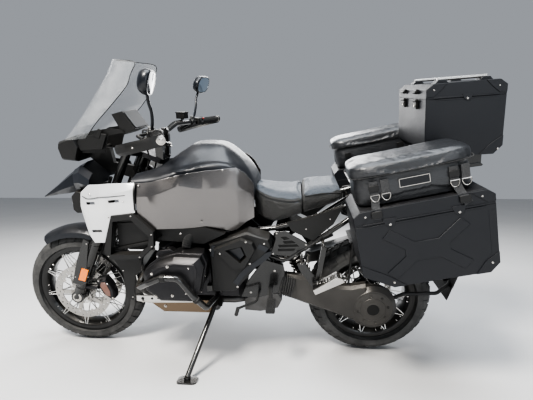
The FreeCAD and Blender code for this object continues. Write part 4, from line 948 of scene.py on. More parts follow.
# Bars: ribbed grips, ringed bar ends, switches, reservoir and hoses
bar_out, bar_in = Vector((868, 478, BAR_Z)), Vector((1014, 170, BAR_Z))
bar_way = (bar_out - bar_in).normalized()
grip_frame = Matrix.Translation(bar_out) @ (-bar_way).to_track_quat("Y", "Z").to_matrix().to_4x4()
rib = template("grip_rib", Shape().box((0, 0, 0), (6.5, 3.2, 1.8)))
ribs = Shape()
for row in range(15):
    ribs.take(round_axle(rib, 12, 17.6, 12 + row * 7.3, 0.26 * (row % 2), RUBBER))
ribs.mesh.transform(grip_frame)
ribs.both().show("grip_ribs", RUBBER, "steering")


def on_grip(distance):
    """A place along the left grip, measured in from its outer end."""
    return bar_out - bar_way * distance


ends = Shape().lathe(on_grip(-24), bar_way,
                     ((0, 17.6), (3, 17.6), (4.5, 15), (4.5, 12), (2.8, 11.4), (2.8, 8), (4, 6)), 28)
ends.lathe(on_grip(-8), bar_way, ((0, 17.4), (1, 17.8), (5, 17.8), (6, 17.4)), 28)
ends.both().show("bar_end_rings", STEEL, "steering", "chrome_tube")
switches = Shape()
for distance, x, z, size in ((148, -24, 8, (7, 9, 9)), (160, -25, -2, (6, 16, 7)), (172, -24, 9, (7, 8, 8))):
    switches.box(on_grip(distance) + Vector((x, 0, z)), size, Matrix.Rotation(math.radians(25), 3, "Z"))
switches.both().show("switch_keys", SWITCH_GREY, "steering", edge=0.8)
stop_switch = Shape().box((on_grip(150).x - 26, -on_grip(150).y, 1216), (7, 12, 8))
stop_switch.show("stop_switch", RED_PLASTIC, "steering", edge=1)
reservoir_turn = Matrix.Rotation(math.radians(-22), 3, "Z")
reservoir = Shape().box((1000, -246, 1238), (52, 40, 30), reservoir_turn)
reservoir.box((1000, -246, 1255), (56, 44, 6), reservoir_turn)
reservoir.bar((1000, -246, 1216), (1000, -246, 1226), 9)
reservoir.show("brake_reservoir", PLASTIC, "steering", edge=2)
hoses = Shape()
hoses.hose(((1002, 250, 1212), (1040, 210, 1206), (1066, 150, 1170), (1080, 90, 1110), (1092, 60, 1040),
            (1150, 70, 900), (1230, 84, 780), (1250, 88, 720)), 4)
hoses.hose(((1004, 240, 1204), (1046, 190, 1190), (1070, 120, 1140), (1084, 70, 1070)), 3)
hoses.both().show("bar_hoses", RUBBER, "steering")

# Hand guards: slender blades round the front of each hand
GUARD_PATH = ((-2, 24), (37, 38), (107, 34), (172, 0), (206, -58), (200, -138), (166, -186))
GUARD_LEVELS = ((-24, -9), (-12, 0), (8, 0), (18, -7))
GUARD_WALL = 4
guard_run = [point.to_2d() for point in smooth_path([(x, y, 0) for x, y in GUARD_PATH], 5)]
slope = Matrix.Translation(bar_out) @ Matrix.Rotation(math.radians(13), 4, "Y")
guard_rings = []
for index, point in enumerate(guard_run):
    run = guard_run[min(index + 1, len(guard_run) - 1)] - guard_run[max(index - 1, 0)]
    inward = Vector((run.y, -run.x)).normalized() * GUARD_WALL
    narrow = 1 - 0.35 * max(0, index / len(guard_run) - 0.6) / 0.4
    outer = [(point.x + reach, point.y + reach / 2, z * narrow) for z, reach in GUARD_LEVELS]
    inner = [(x + inward.x, y + inward.y, z) for x, y, z in reversed(outer)]
    guard_rings.append([slope @ Vector(place) for place in outer + inner])
guard = Shape().rings(guard_rings)
guard.bar(on_grip(2), on_grip(-23), 16.5, 28)
guard.bar(on_grip(215), (1030, 300, 1164), 8)
guard.bar(on_grip(205), on_grip(226), 18, 28)
guard_piece = guard.both().show("hand_guard_blades", PLASTIC, "steering", sharp=30)
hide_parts("hand_guards")
guard_bolts = ((1068, 396, 1160, (1, 0.4, 0.2), 5), (960, 514.5, 1176, (0, 1, 0), 4))
fastened("guard_bolts", BUTTON, guard_bolts, "steering", both=True)

# Mirrors: rounded heads on bent stalks, with the glass let into the back of each
mirror_turn = Matrix.Rotation(math.radians(10), 4, "Z") @ Matrix.Rotation(math.radians(-16), 4, "Y")
MIRROR_RIM = ((-78, -10), (-69, -32), (-44, -45), (10, -48), (54, -38), (77, -14), (77, 22), (55, 44),
              (8, 46), (-44, 42), (-68, 23), (-77, 8))
mirror_place = Matrix.Translation((922, 405, 1402)) @ mirror_turn


def mirror_ring(depth, share):
    """The left mirror's outline at a depth, drawn in to a share of its size."""
    rim = smooth_path([(0, y, z) for y, z in MIRROR_RIM + MIRROR_RIM[:1]], 3)[:-1]
    return [mirror_place @ Vector((depth, point.y * share, point.z * share)) for point in rim]


# The left glass takes the shaded copy and the right the lit copy: painted light
for side, finish in (("left", MIRROR_DARK), ("right", LIT_MIRROR)):
    glass = Shape().rings([mirror_ring(-15.6, 0.84), mirror_ring(-15.2, 0.86), mirror_ring(-13, 0.86)])
    if side == "right":
        glass.mesh.transform(Matrix.Scale(-1, 4, (0, 1, 0)))
    glass.show(side + "_mirror_glass", finish, "steering")
shell = Shape().rings([mirror_ring(depth, share) for depth, share in (
    (-15.4, 0.88), (-15.9, 0.92), (-12, 0.98), (-4, 1.0), (8, 0.96), (18, 0.85), (26, 0.66), (30, 0.4))])
shell.hose(((962, 318, 1208), (950, 326, 1246), (943, 340, 1290), (944, 358, 1326), (936, 384, 1362),
            (930, 394, 1378)), 6.4, 14)
shell.bar((966, 312, 1198), (960, 316, 1226), 13, 24)
shell_piece = shell.both().show("mirror_shells", SATIN, "steering", sharp=55)
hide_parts("mirrors")
collar = Shape()
for step in range(4):
    collar.bar((966 - 1.3 * step, 312.6, 1204 + 7 * step), (965 - 1.3 * step, 313, 1209 + 7 * step), 14.4, 24)
collar.both().show("stalk_collars", SWITCH_GREY, "steering")


# Front: edge and mounts of the screen, display, lamp faces, side lamps and turn lamps
SCREEN_EDGE = ((1340, 149, 1166), (1262, 188, 1236), (1190, 188, 1304), (1113, 163, 1391), (1095, 148, 1441),
               (1078, 126, 1490))
edge = Shape().hose(SCREEN_EDGE + ((1150, 84, 1505), (1216, 0, 1511), (1150, -84, 1505)) + tuple(
    (x, -y, z) for x, y, z in reversed(SCREEN_EDGE)), 1.8, 8, 5)
edge.show("screen_edge", PLASTIC)
mount = Shape()
mount.slab(((1400, 1164), (1300, 1186), (1262, 1180), (1292, 1110), (1400, 1104), (1414, 1134)), 100, 106)
mount.slab(((1330, 1176), (1296, 1208), (1280, 1200), (1300, 1160)), 104, 109)
mount.both().show("screen_mounts", PLASTIC, edge=1.5)
glassy = Shape().slab(((1129.5, 1205.5), (1179, 1277.5), (1177, 1279), (1127.5, 1207)), -76, 76)
glassy.show("display_glass", DISPLAY, edge=0.6)
lens_face = Shape()
lens_face.slab(((1502, 1064), (1515.5, 1118), (1510, 1143), (1506, 1143), (1511, 1118), (1498, 1064)), 6, 92)
lens_face.both().show("lamp_lenses", LAMP, edge=1)
pods = Shape()
pods.slab(((1404, 806), (1398, 900), (1436, 914), (1462, 888), (1462, 820), (1446, 804)), 94, 142)
pods.bar((1400, 110, 880), (1376, 104, 930), 9)
pods.both().show("side_lamp_pods", PLASTIC, edge=7)
spots = Shape()
spots.lathe((1459, 119, 852), (0.96, 0.16, -0.1), ((0, 21), (5, 23), (7, 22), (7, 18), (3, 15), (2.4, 1)), 28)
spots.both().show("side_lamp_faces", LAMP)
amber = Shape().slab(((1398, 858), (1410, 826), (1424, 832), (1412, 862)), 138, 141.5)
amber.both().show("turn_lamps", AMBER, edge=1)

# Panels: trims where they meet, grooves, bolts, and vanes in the ducts
trim = Shape()
trim.ribbon(((1079, 267, 986), (1079, 290, 955), (1080, 296, 905), (1082, 294, 862)), 7, 4, (1, 0, 0))
trim.both().show("panel_trims", PLASTIC)
groove = Shape()
groove.ribbon(((1330, 266.5, 925), (1294, 285.5, 918), (1244, 291.5, 926), (1192, 293.5, 930),
               (1120, 291, 936)), 2.4, 1.6, (0, 0, 1))
groove.both().show("panel_grooves", PLASTIC)
fastened("panel_bolts", BUTTON, (
    (1064, 270, 974, (0.1, 1, 0.5), 4.5), (905, 248, 1010, (0, 1, 0.6), 4.5),
    (700, 214, 1030, (0, 1, 0.4), 4.5), (1284, 285.5, 938, (0.1, 1, 0.3), 3.2),
    (1272, 288, 880, (0.1, 1, 0.1), 3.2), (1130, 294, 908, (0, 1, 0.2), 3.2),
    (800, 247, 800, (0, 1, -0.2), 4.0), (1082, 292, 846, (0, 1, 0), 3.6),
    (1500, 79, 950, (0.3, 1, 0.2), 3.6), (1390, 155, 1000, (0.3, 1, 0.3), 3.6)), both=True)
fastened("duct_bolts", BUTTON, (
    (1100, 305, 846, OUT, 4), (1200, 305, 838, OUT, 4), (1016, 305, 760, OUT, 4),
    (1020, 305, 702, OUT, 4), (1082, 305, 650, OUT, 4), (1228, 305, 652, OUT, 4),
    (1190, 263, 560, OUT, 4), (1160, 263, 420, OUT, 4)), both=True)
vane = Shape().slab(((1030, 702), (1034, 716), (1222, 676), (1218, 662)), 266, 272)
vane.slab(((1062, 800), (1066, 808), (1218, 796), (1216, 788)), 262, 268)
vane.both().show("duct_vanes", PLASTIC, edge=1)

# Fins of the radiators, seen through the ducts
fins = Shape()
rows = [((1044 + 6 * step, 260, 745), OUT, (1, 140, 0.7)) for step in range(25)]
fins.take(on_points(template("radiator_fin", Shape().box((0, 0, 0), (1.1, 1, 2))), rows, PLASTIC))
fins.both().show("radiator_fins", PLASTIC)

# Engine: bolts, ridges of the covers, plug caps, intakes, holes of the wings, clamps and sensor covers
fastened("cover_bolts", BOLT, (
    (840, 371, 632, OUT, 6), (860, 371, 512, OUT, 6), (1000, 371, 490, OUT, 6), (1004, 371, 600, OUT, 6),
    (930, 378, 640, OUT, 5), (920, 378, 500, OUT, 5)), both=True)
fastened("head_bolts", BOLT, (
    (800, 300, 664, (0, 0, 1), 5), (880, 300, 678, (0, 0, 1), 5), (960, 262, 677, (0, 0, 1), 5),
    (1000, 300, 652, (0.5, 0, 1), 5), (790, 300, 560, (-1, 0, 0), 5), (812, 300, 480, (-1, 0, -0.3), 5)),
    both=True)
cover = Shape()
COVER_RIDGE = ((1030, 588), (1004, 624), (905, 652), (812, 648), (802, 620), (826, 506), (856, 474),
               (976, 474), (1028, 520))
cover.slab(COVER_RIDGE, 366, 372)
cover.slab(((990, 590), (900, 622), (850, 612), (862, 520), (880, 500), (960, 500), (992, 534)), 370, 377)
cover.both().show("cover_ridges", CASTING, edge=2.5)
plug = Shape()
plug.bar((1040, 300, 560), (1066, 300, 560), 13, 20)
plug.hose(((1060, 300, 560), (1082, 292, 580), (1084, 262, 640), (1060, 230, 690)), 5)
plug.hose(((880, 250, 676), (872, 236, 712), (850, 214, 740)), 20, 16)
plug.both().show("plug_caps", RUBBER)
boot_rings = Shape()
for step in range(4):
    boot_rings.bar((879 - 2 * step, 249 - 4 * step, 682 + 9 * step),
                   (878 - 2 * step, 248 - 4 * step, 686 + 9 * step), 22.5, 20)
boot_rings.both().show("intake_rings", RUBBER)
wing_trim = Shape()
for x, z, radius in ((1140, 376, 8), (1092, 377, 6), (1060, 380, 6), (1020, 392, 6), (980, 400, 6),
                     (930, 404, 8), (900, 396, 6)):
    wing_trim.lathe((x, 203, z), OUT, ((0, radius), (0.8, radius), (0.8, radius - 2), (-2, radius - 2.4),
                                       (-2, 0.1)), 18)
wing_trim.both().show("wing_holes", PLASTIC)
fastened("pan_bolts", BOLT, (
    (1160, 145.2, 400, OUT, 6), (1050, 145.2, 300, OUT, 6), (850, 145.2, 300, OUT, 6),
    (1140, 203.4, 362, OUT, 5), (880, 203.4, 372, OUT, 5)), both=True)
guard_clamps = Shape()
for start, end in (((1078, 232, 570), (1080, 262, 562)), ((960, 405, 598), (930, 406, 601)),
                   ((812, 396, 500), (806, 390, 484))):
    guard_clamps.bar(start, end, 17, 24)
guard_clamps.both().show("guard_clamps", PLASTIC)
sensor = Shape()
sensor.slab(((1018, 648), (1006, 672), (944, 680), (920, 664), (926, 644)), 242, 284)
sensor.bar((980, 262, 684), (980, 262, 660), 12)
sensor.both().show("sensor_covers", CASTING, edge=3)

# Frame plates, studs and bands of the side covers, and footrests
gusset = Shape().slab(((478, 726), (424, 728), (312, 662), (372, 598), (499, 607), (474, 688)), 161, 167)
gusset.both().show("frame_gussets", FRAME_COAT, edge=2)
# Dark sheets on the gussets, painted shade where their slots are
slot_shades = Shape()
for corners in (((452, 700), (424, 702), (404, 690), (432, 684)),
                ((440, 678), (396, 683), (376, 670), (430, 664)),
                ((462, 660), (372, 664), (362, 652), (456, 646)),
                ((462, 640), (378, 642), (386, 630), (462, 626))):
    slot_shades.slab(corners, 165, 167.4)
slot_shades.both().show("gusset_slots", PAINTED_SHADE, edge=0.5)
fastened("cover_studs", BUTTON, (
    (769, 250.5, 664, OUT, 7), (721, 272.3, 657, OUT, 5), (600, 272.3, 716, OUT, 5),
    (585, 272.3, 610, OUT, 5), (520, 250.5, 700, OUT, 5), (650, 250.5, 480, OUT, 6),
    (905, 240.2, 740, OUT, 6), (480, 160.2, 520, OUT, 6), (600, 160.2, 400, OUT, 6),
    (468, 167.2, 718, OUT, 5), (330, 167.2, 662, OUT, 5), (378, 167.2, 610, OUT, 5),
    (486, 167.2, 614, OUT, 5), (330, 166.2, 740, OUT, 4), (220, 166.2, 790, OUT, 4)), both=True)
band = Shape()
band.ribbon(((547, 251, 688), (500, 251, 660), (532, 251, 620), (610, 251, 560), (659, 251, 495)), 26, 3,
            (0.5, 0, 0.85))
band.slab(((690, 663), (628, 681), (612, 643), (634, 618)), 249, 252)
band.slab(((770, 640), (758, 690), (744, 684), (756, 632)), 249, 255)
band.both().show("cover_bands", SATIN, edge=1.2)
peg_rib = template("peg_rib", Shape().box((0, 0, 0), (36, 5, 6)))
pegs = Shape()
rows = [((492, 250 + 9 * step, 417), (0, 0, 1), 1.0) for step in range(10)]
pegs.take(on_points(peg_rib, rows, RUBBER))
pegs.both().show("footrest_ribs", RUBBER, edge=0.8)
silver_rib = template("silver_rib", Shape().box((0, 0, 0), (7, 30, 3)))
rear_pegs = Shape().slab(((289, 478), (162, 543), (170, 558), (194, 566), (300, 500)), 243, 306)
rows = [((176 + 13 * step, 279, 563 - 4.6 * step), (0.42, 0, 0.9), 1.0) for step in range(9)]
rear_pegs.take(on_points(silver_rib, rows, ALUMINIUM))
rear_pegs.both().show("rear_peg_ribs", ALUMINIUM, edge=0.6)
hangers = Shape()
hangers.slab(((371, 596), (342, 604), (264, 501), (270, 472), (290, 472), (358, 565)), 235.6, 244.6)
hangers.slab(((241.5, 683), (261, 688.5), (290.5, 500), (271.5, 489)), 244.9, 253.4)
hangers.both().show("peg_hangers", FRAME_COAT, edge=1.5)

# Rear: gaiter, final drive, shock spring, silencer bands, blank plate and lamps
gaiter = Shape()
profile = []
for step in range(6):
    profile += [(step * 11, 56), (step * 11 + 3, 62), (step * 11 + 7, 62), (step * 11 + 10, 56)]
gaiter.lathe((452, 125, 440), (-1, 0, -0.24), profile, 32)
gaiter.show("drive_gaiter", RUBBER)
drive = Shape(Matrix.Translation(REAR_AXLE))
drive.lathe((0, 160, 0), OUT, ((0, 90), (3, 90), (4, 86), (4, 62), (6, 60), (6, 44), (2, 40), (1, 30)), 64)
drive.show("final_drive_ring", ARM_COAT)
ring = Shape(Matrix.Translation(REAR_AXLE))
drive_bolt = template("drive_bolt", Shape().lathe((0, 163, 0), OUT, ((0, 6), (4, 6), (5, 4.4), (3, 2.5)), 6))
ring.take(round_axle(drive_bolt, 8, 74, 0, 0.2, ARM_COAT))
ring.lathe((0, 164, 0), OUT, ((0, 38), (2.5, 38), (3, 36), (3, 30), (0, 29)), 48, caps=False)
ring.show("final_drive_bolts", ARM_COAT)
# A dark disc in the hub, painted shade where its hollow is
hub_hole = Shape(Matrix.Translation(REAR_AXLE))
hub_hole.lathe((0, 166.2, 0), OUT, ((0, 29.5), (0.4, 29.5), (0.4, 1)), 40)
hub_hole.show("hub_hole", PAINTED_SHADE)
liner = Shape().slab(((1178, 838), (1178, 640), (1060, 640), (1040, 690), (930, 700), (900, 760), (950, 838)),
                     196, 199)
liner.both().show("splash_liners", PLASTIC, edge=1)
spring = Shape()
low, high = Vector((338, 0, 436)), Vector((416, 0, 582))
across = Vector((0, 1, 0))
side = (high - low).normalized().cross(across)
turns = [2 * math.pi * step / 14 for step in range(14 * 8)]
coil = [low + (high - low) * (turn / turns[-1]) + (across * math.cos(turn) + side * math.sin(turn)) * 38
        for turn in turns]
spring.hose(coil, 5.5, 8, 0)
spring.show("shock_spring", STEEL, "chassis", "frame_black")
pipe = Shape()
pipe.lathe((-128, -216, 535), (-46, 0, 14), ((0, 26), (16, 26), (19, 24), (19, 20), (2, 19), (1, 1)), 32)
pipe.slab(((320, 404), (314, 464), (300, 458), (304, 408)), -264, -168)
pipe.slab(((-46, 478), (-52, 588), (-66, 586), (-60, 474)), -264, -168)
pipe.show("silencer_bands", STEEL, "chassis", "chrome_tube", edge=2)
plate_place = Matrix.Translation((-366, 0, 346)) @ Matrix.Rotation(math.radians(-16), 4, "Y")
plate = Shape(plate_place)
plate.slab(((-5.2, 74), (-5.2, 196), (-4, 196), (-4, 74)), -92, 92)
plate.show("blank_plate", WHITE, edge=0.4)
plate_rim = Shape(plate_place)
for low, high, left, side in ((68, 74, -98, 98), (196, 202, -98, 98), (68, 202, -98, -92), (68, 202, 92, 98)):
    plate_rim.slab(((-7, low), (-7, high), (-4, high), (-4, low)), left, side)
plate_rim.show("plate_rim", PLASTIC, edge=0.8)
rear_reflector = Shape(plate_place)
rear_reflector.slab(((-9, 16), (-9, 48), (-4, 50), (-4, 14)), -46, 46)
rear_reflector.show("rear_reflector", RED, edge=1.2)
rear_turn = Shape()
rear_turn.bar((-160, 70, 896), (-164, 128, 892), 8)
rear_turn.slab(((-142, 884), (-146, 912), (-176, 914), (-190, 896), (-176, 880)), 120, 172)
rear_turn.both().show("rear_turn_housings", PLASTIC, edge=3)
rear_lens = Shape().slab(((-178, 884), (-192, 896), (-178, 911), (-170, 908), (-170, 886)), 124, 168)
rear_lens.both().show("rear_turn_lenses", AMBER, edge=2)
lamp_face = Shape().slab(((-176, 884), (-183, 880.6), (-187.2, 880), (-180, 920), (-174, 918)), -64, 64)
lamp_face.show("rear_lamp_face", RED, edge=1.5)


# Soft pieces: seats and luggage bags, swollen by a cloth pass, with their piping and straps
def remeshed(name, mesh, voxel, smooth):
    """One even skin over a mesh."""
    piece = bpy.data.objects.new(name, mesh)
    scene.collection.objects.link(piece)
    remesh = piece.modifiers.new("voxels", "REMESH")
    remesh.mode, remesh.voxel_size = "VOXEL", voxel / 1000
    relax = piece.modifiers.new("relax", "SMOOTH")
    relax.factor, relax.iterations = 0.5, smooth
    made = evaluated(piece)
    bpy.data.objects.remove(piece)
    return made


CLOTH_FRAMES = 20


def swollen(mesh, cap, pressure):
    """Where the points of a skin go under pressure, no further than the cap."""
    piece = bpy.data.objects.new("under_pressure", mesh)
    scene.collection.objects.link(piece)
    cloth = piece.modifiers.new("cloth", "CLOTH")
    cloth.settings.use_pressure = True
    cloth.settings.uniform_pressure_force = pressure
    cloth.settings.effector_weights.gravity = 0
    cloth.settings.quality = 4
    cloth.collision_settings.use_collision = False
    cloth.point_cache.frame_start, cloth.point_cache.frame_end = 1, CLOTH_FRAMES
    for step in range(1, CLOTH_FRAMES + 1):
        scene.frame_set(step)
    view = piece.evaluated_get(bpy.context.evaluated_depsgraph_get())
    places = [vertex.co.copy() for vertex in view.data.vertices]
    bpy.data.objects.remove(piece, do_unlink=True)
    scene.frame_set(1)
    moves = []
    for vertex, place in zip(mesh.vertices, places):
        move = place - vertex.co
        moves.append(move * min(1.0, cap / 1000 / max(move.length, 1e-9)))
    return moves


def soft(name, shape, node, finish, voxel, shrink, cap, fold, fill):
    """A stuffed piece in its node's place; voxel, shrink, cap and fold (the height of its creases) in mm."""
    mesh = remeshed(name, shape, voxel, 5)
    below = -way(0, 0, 1)
    normals = [vertex.normal.copy() for vertex in mesh.vertices]
    for vertex, normal in zip(mesh.vertices, normals):
        vertex.co -= normal * shrink / 1000
    grown = swollen(mesh, cap, 4)
    for vertex, normal, move in zip(mesh.vertices, normals, grown):
        # What faces down rests on its carrier and keeps its place
        free = min(1.0, max(0.0, 1.6 - 2 * normal.dot(below)))
        crease = noise.noise(vertex.co * 26) + 0.5 * noise.noise(vertex.co * 61)
        vertex.co += move * free + normal * (free * fold * crease / 1000)
    mesh.polygons.foreach_set("use_smooth", [True] * len(mesh.polygons))
    piece = shown(name, mesh, finish, nodes[node]["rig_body"])
    finer = piece.modifiers.new("finer", "SUBSURF")
    finer.levels = finer.render_levels = 1
    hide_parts(node)
    return piece


def node_mesh(node):
    """A CAD node's mesh with its doubled points joined."""
    mesh = nodes[node].data.copy()
    shape = welded(node)
    shape.to_mesh(mesh)
    shape.free()
    return mesh


soft("rider_seat_pad", node_mesh("rider_seat"), "rider_seat", SEAT, 5.5, 4, 6, 0.3, 0.8)
soft("pillion_seat_pad", node_mesh("pillion_seat"), "pillion_seat", SEAT, 5.5, 4, 6, 0.3, 0.8)

RIDER_LINE = ((566, 82, 909), (530, 125, 893), (478, 149, 880), (400, 161, 873), (352, 162, 880))
PILLION_LINE = ((338, 160, 896), (260, 154, 908), (200, 142, 908), (172, 126, 904))
piping = Shape()
for line in (RIDER_LINE, PILLION_LINE):
    piping.hose(line, 2.4, 8)
piping.both().show("seat_piping", RUBBER)


def ring_of(x_mid, x_half, y_mid, y_half, z, power=5.0, sides=56):
    """A rounded rectangle at a height."""
    ring = []
    for step in range(sides):
        turn = 2 * math.pi * step / sides
        c, s = math.cos(turn), math.sin(turn)
        ring.append((x_mid + x_half * math.copysign(abs(c) ** (2 / power), c),
                     y_mid + y_half * math.copysign(abs(s) ** (2 / power), s), z))
    return ring


BAG_BASE = 58.9
LID_STRAP_FACE = 489.8
# Rows of the bag from its foot up: height above the lid, and how far in from its widest
BAG_FORM = ((0.8, 24), (3, 16), (20, 9), (60, 7), (96, 10), (108, 14), (111, 12), (114, 2), (119, 0),
            (146, 0), (156, 3), (162, 12), (164.5, 30), (166, 80))


def bag(side, y_mid, y_half):
    """A roll bag on a side case's lid, with its middle and half width across."""
    shape = Shape(SIDE_CASE)
    shape.rings([ring_of(237, 225 - inset, y_mid, y_half - inset, BAG_BASE + height)
                 for height, inset in BAG_FORM])
    soft(side + "_bag_cloth", shape.baked(side + "_bag_form"), side + "_bag", TARP, 5.5, 2, 4, 1.1, 0.7)


bag("left", 352, 120)
bag("right", -366, 104)


def luggage_straps(side, out, inner):
    """Webbing from the bag down to the lid, with its rings and buckles; out and inner are the bag's sides."""
    sign = 1 if side == "left" else -1
    face, lid_face = sign * (out - 7), sign * LID_STRAP_FACE
    body = side + "_lid"
    straps = Shape(SIDE_CASE)
    rings = Shape(SIDE_CASE)
    buckles = Shape(SIDE_CASE)
    for along in (92, 372):
        lean = 14 if along > 200 else -4
        straps.ribbon(((along, face + sign * 2, BAG_BASE + 100), (along, face + sign * 4.4, BAG_BASE + 50),
                       (along + lean, sign * (out + 4), BAG_BASE + 8),
                       (along + 1.6 * lean, lid_face + sign, 46),
                       (along + 2 * lean, lid_face + sign, 34), (along + 2.4 * lean, lid_face, 22)), 30, 2.4,
                       (1, 0, 0))
        straps.ribbon(((along + 40, face + sign * 2, BAG_BASE + 102),
                       (along + 40, face + sign * 3.6, BAG_BASE + 72),
                       (along + 40, face + sign * 4.4, BAG_BASE + 52)), 28, 2.2, (1, 0, 0))
        for middle in (along, along + 40):
            high = BAG_BASE + 50
            rings.hose(((middle - 15, face + sign * 6.4, high), (middle - 15, face + sign * 8, high - 8),
                        (middle - 9, face + sign * 9, high - 20), (middle, face + sign * 9, high - 24),
                        (middle + 9, face + sign * 9, high - 20), (middle + 15, face + sign * 8, high - 8),
                        (middle + 15, face + sign * 6.4, high)), 2.3, 8)
            rings.bar((middle - 17, face + sign * 6.4, high), (middle + 17, face + sign * 6.4, high), 2.3, 8)
        buckles.box((along + 1.6 * lean, lid_face + sign * 2.6, 40), (38, 5, 26))
        buckles.box((along, face + sign * 5, BAG_BASE + 74), (36, 6, 24))
        buckles.box((along, inner, BAG_BASE + 74), (36, 4, 24))
    straps.show(side + "_bag_straps", WEBBING, body)
    rings.show(side + "_bag_rings", STEEL, body)
    buckles.show(side + "_bag_buckles", PLASTIC, body, edge=1.5)
    trims = Shape(SIDE_CASE)
    trims.box((237, face + sign * 2.6, BAG_BASE + 76), (104, 2, 30))
    trims.show(side + "_bag_plate", CASE_COAT, body, edge=0.8)
    border = Shape(SIDE_CASE)
    for x, z, wide, tall in ((237, 15, 108, 2.4), (237, -15, 108, 2.4), (184, 0, 2.4, 32), (290, 0, 2.4, 32)):
        border.box((x, face + sign * 3.4, BAG_BASE + 76 + z), (wide, 2.2, tall))
    border.show(side + "_bag_plate_edge", STEEL, body)
    stitched = Shape(SIDE_CASE)
    welt = ring_of(237, 226.4, sign * (out + abs(inner)) / 2, (out - abs(inner)) / 2 + 1.2, BAG_BASE + 118)
    stitched.hose(welt, 1.7, 6, 0, closed=True)
    stitched.show(side + "_bag_welt", RUBBER, body)


luggage_straps("left", 472, 234)
luggage_straps("right", 470, -264)


# Cases: seams, corner caps, bolts, locks and tabs, all a little proud of the walls
SIDE_FACE, SIDE_LONG, SIDE_FOOT = 486, 497, -264.6
TOP_FACE, TOP_LONG = 208, 308
CAP_PROUD, TAB_THICK = 3, 3.2


def tab(shape, along, face, z, wide, tall, thick):
    """A tapering plate that hangs over the seam between lid and case."""
    half = ((wide / 2, 0), (wide / 3, tall * 0.7), (wide / 7, tall))
    outline = [(along - wide / 2, z)] + [(along + reach, z - drop) for reach, drop in half]
    outline += [(along - reach, z - drop) for reach, drop in reversed(half[1:])]
    shape.slab(outline, face, face + thick)


def both_ends(outline, long):
    """An outline at the front end of a case, and the same at the rear end."""
    return outline, [(long - x, other) for x, other in outline]


def side_case(side, sign, inner, foot):
    """Inner is the wall by the wheel; foot is how far the lower caps end above the case's own foot."""
    face, lid_body = sign * SIDE_FACE, side + "_lid"
    lid, case, embossed = Shape(SIDE_CASE), Shape(SIDE_CASE), Shape(SIDE_CASE)
    for along in (128, 372):
        tab(lid, along, face, 18, 52, 34, sign * TAB_THICK)
    lid.slab(((30, 8), (467, 8), (467, 2.4), (30, 2.4)), face, face + sign * 2.4)
    lid.slab(((60, 58.2), (437, 58.2), (437, 60), (60, 60)), face - sign * 6, face - sign * 14)
    cap = ((0.4, 12), (0.4, 37.6), (27, 57.6), (81, 57.6), (62, 40), (28, 12))
    top_cap = ((27, 484), (81, 484), (62, 444), (27, 444))
    for corner, top_corner in zip(both_ends(cap, SIDE_LONG), both_ends(top_cap, SIDE_LONG)):
        lid.slab(corner, face - sign, face + sign * CAP_PROUD)
        lid.rings([[(x, sign * y, z) for x, y in top_corner] for z in (57, 60.6)])
    low = SIDE_FOOT + foot
    front = [(0.4, -156), (0.4, -200), (109, low), (158, low), (84, -206)]
    rear = [(496.6, -185), (496.6, -230), (462 + foot, low), (412, low), (446, -218)]
    for corners in (front, rear):
        case.slab(corners, face - sign, face + sign * CAP_PROUD)
    lid.show(side + "_lid_tabs", CASE_COAT, lid_body, edge=1)
    case.slab(((44, -2), (453, -2), (453, -7), (44, -7)), face, face + sign * 1.6)
    case.slab(((470, -20), (492, -20), (492, -222), (470, -222)), face, face + sign * 0.8)
    cross = [(92, -58), (124, -28), (206, -92), (249, -92)]
    cross += [(SIDE_LONG - x, z) for x, z in reversed(cross[:3])]
    cross += [(330, -116), (330, -144), (405, -202), (373, -232), (291, -168), (206, -168), (124, -232),
              (92, -202), (168, -144), (168, -116)]
    embossed.slab(cross, face, face + sign * 3.2)
    embossed.show(side + "_case_embossing", CASE_COAT, edge=1.5)
    case.show(side + "_case_seams", CASE_COAT, edge=0.6)
    out = (0, sign, 0)
    fastened(side + "_lid_bolts", BUTTON, (
        (128, face + sign * TAB_THICK, -6, out, 5), (372, face + sign * TAB_THICK, -6, out, 5),
        (44, face + sign * CAP_PROUD, 38, out, 4), (452, face + sign * CAP_PROUD, 38, out, 4)),
        lid_body, place=SIDE_CASE)
    rows = [(470, face + sign * CAP_PROUD, -226, out, 5),
            (112, face + sign * CAP_PROUD, -244 + foot / 2, out, 5)]
    rows += [(494.6, sign * (inner + 30 + 40 * step), z, (1, 0, 0), 2.6)
             for step in range(4) for z in (-20, -230)]
    fastened(side + "_case_rivets", RIVET, rows, place=SIDE_CASE)
    lock = Shape(SIDE_CASE)
    middle = sign * (inner + SIDE_FACE) / 2
    lock.box((500, middle, -14), (6, 60, 52))
    lock.box((503, middle, -6), (6, 34, 30))
    lock.lathe((505, middle, -22), (1, 0, 0), ((0, 9), (3, 9), (3.6, 7.6), (2, 7), (1.6, 1)), 18)
    lock.show(side + "_case_lock", PLASTIC, edge=1.5)


side_case("left", 1, 224, 0)
side_case("right", -1, 271, 14)

